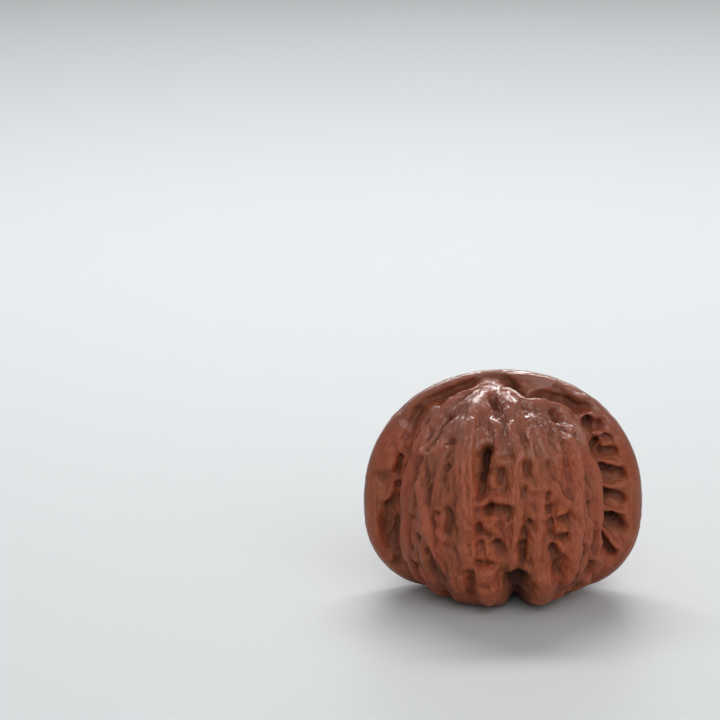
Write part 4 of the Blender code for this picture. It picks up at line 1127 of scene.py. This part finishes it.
# %% The shell's material
def shell_material():
    """The polished shell: its colour, its gloss and its grain."""
    shell = bpy.data.materials.new("polished_shell")
    shell.use_nodes = True
    tree = shell.node_tree
    place = add(tree, "ShaderNodeTexCoord").outputs["Object"]
    fibre_place = add(tree, "ShaderNodeAttribute", attribute_name="fibres").outputs["Vector"]
    surface = tree.nodes["Principled BSDF"]
    plug(tree, surface.inputs["Base Color"], shell_colour(tree, place, fibre_place))
    set_gloss(tree, surface)
    set_grain(tree, surface, place, fibre_place)
    return shell


nut.data.materials.append(shell_material())
print("shell material:", len(nut.data.materials[0].node_tree.nodes), "nodes")

# %% [markdown]
# ## Floor, light and camera
#
# The nut stands on a plain pale floor. A long narrow light hangs above and behind it and draws the glints
# below the tip. A thin strip further back is so low that the very top of the rim mirrors it as a bright
# line. A large soft fill from the front, on the right, shows the ribs and leaves the pits dark.

# %% Floor
FLOOR_REACH = 2.0  # metres from the middle to each side
FLOOR_GREY = (0.52, 0.54, 0.55, 1)
FLOOR_ROUGHNESS = 0.5


def plain_material(name, colour, roughness):
    made = bpy.data.materials.new(name)
    made.use_nodes = True
    surface = made.node_tree.nodes["Principled BSDF"]
    surface.inputs["Base Color"].default_value = colour
    surface.inputs["Roughness"].default_value = roughness
    return made


bm = bmesh.new()
bmesh.ops.create_grid(bm, x_segments=1, y_segments=1, size=FLOOR_REACH)
floor_mesh = bpy.data.meshes.new("floor")
bm.to_mesh(floor_mesh)
bm.free()
floor = bpy.data.objects.new("floor", floor_mesh)
bpy.context.scene.collection.objects.link(floor)
floor_mesh.materials.append(plain_material("pale_floor", FLOOR_GREY, FLOOR_ROUGHNESS))

# %% Light
# Name, place and size in metres, and power in watts
LIGHTS = (
    ("overhead", (-0.04, 0.38, 0.465), (0.5, 0.1), 2.5),
    ("back_strip", (-0.02, 0.7, 0.26), (0.5, 0.03), 0.6),
    ("front_fill", (0.5, -1.3, 1.0), (1.8, 1.2), 14.5),
)
WORLD_GREY = (0.5, 0.5, 0.5, 1)
WORLD_STRENGTH = 0.85


def soft_light(name, place, size, power):
    """A rectangular light at that place, turned to the middle of the nut."""
    lamp = bpy.data.lights.new(name, "AREA")
    lamp.shape = "RECTANGLE"
    lamp.size, lamp.size_y = size
    lamp.energy = power
    holder = bpy.data.objects.new(name, lamp)
    holder.location = place
    holder.rotation_mode = "QUATERNION"
    holder.rotation_quaternion = (Vector((0, 0, HEIGHT / 2)) - holder.location).to_track_quat("-Z", "Y")
    bpy.context.scene.collection.objects.link(holder)


for light in LIGHTS:
    soft_light(*light)
world = bpy.data.worlds.new("plain_grey")
world.use_nodes = True
world.node_tree.nodes["Background"].inputs["Color"].default_value = WORLD_GREY
world.node_tree.nodes["Background"].inputs["Strength"].default_value = WORLD_STRENGTH
bpy.context.scene.world = world
bpy.context.scene.view_settings.view_transform = "Standard"
print("light:", sum(light[3] for light in LIGHTS), "watts from", len(LIGHTS), "lamps")

# %% Camera
LENS, SENSOR = 185.0, 36.0  # focal length and width of the picture behind it, in millimetres
LOOK_AT = (-23.4, 36.6)  # across and up in the front view, in millimetres


def set_camera():
    """The eye from which the front strokes were placed; the nut stands low on the right of its view."""
    aim = Vector((LOOK_AT[0] * MM, 0, 0)) + EYE_UP * LOOK_AT[1] * MM
    lens = bpy.data.cameras.new("camera")
    lens.lens = LENS
    lens.sensor_width = SENSOR
    camera = bpy.data.objects.new("camera", lens)
    camera.location = EYE_BACK * EYE_DISTANCE
    camera.rotation_mode = "QUATERNION"
    camera.rotation_quaternion = (aim - camera.location).to_track_quat("-Z", "Y")
    bpy.context.scene.collection.objects.link(camera)
    bpy.context.scene.camera = camera


set_camera()
print("camera:", round(EYE_DISTANCE / MM), "mm away,", round(math.degrees(EYE_ELEVATION)), "degrees up")

# %% [markdown]
# ## The last update
#
# The dressed nut is meant to keep the imported solid's size, whose box was printed at the start. At the
# end the view layer is brought up to date once more.

# %% The last update
bpy.context.view_layer.update()
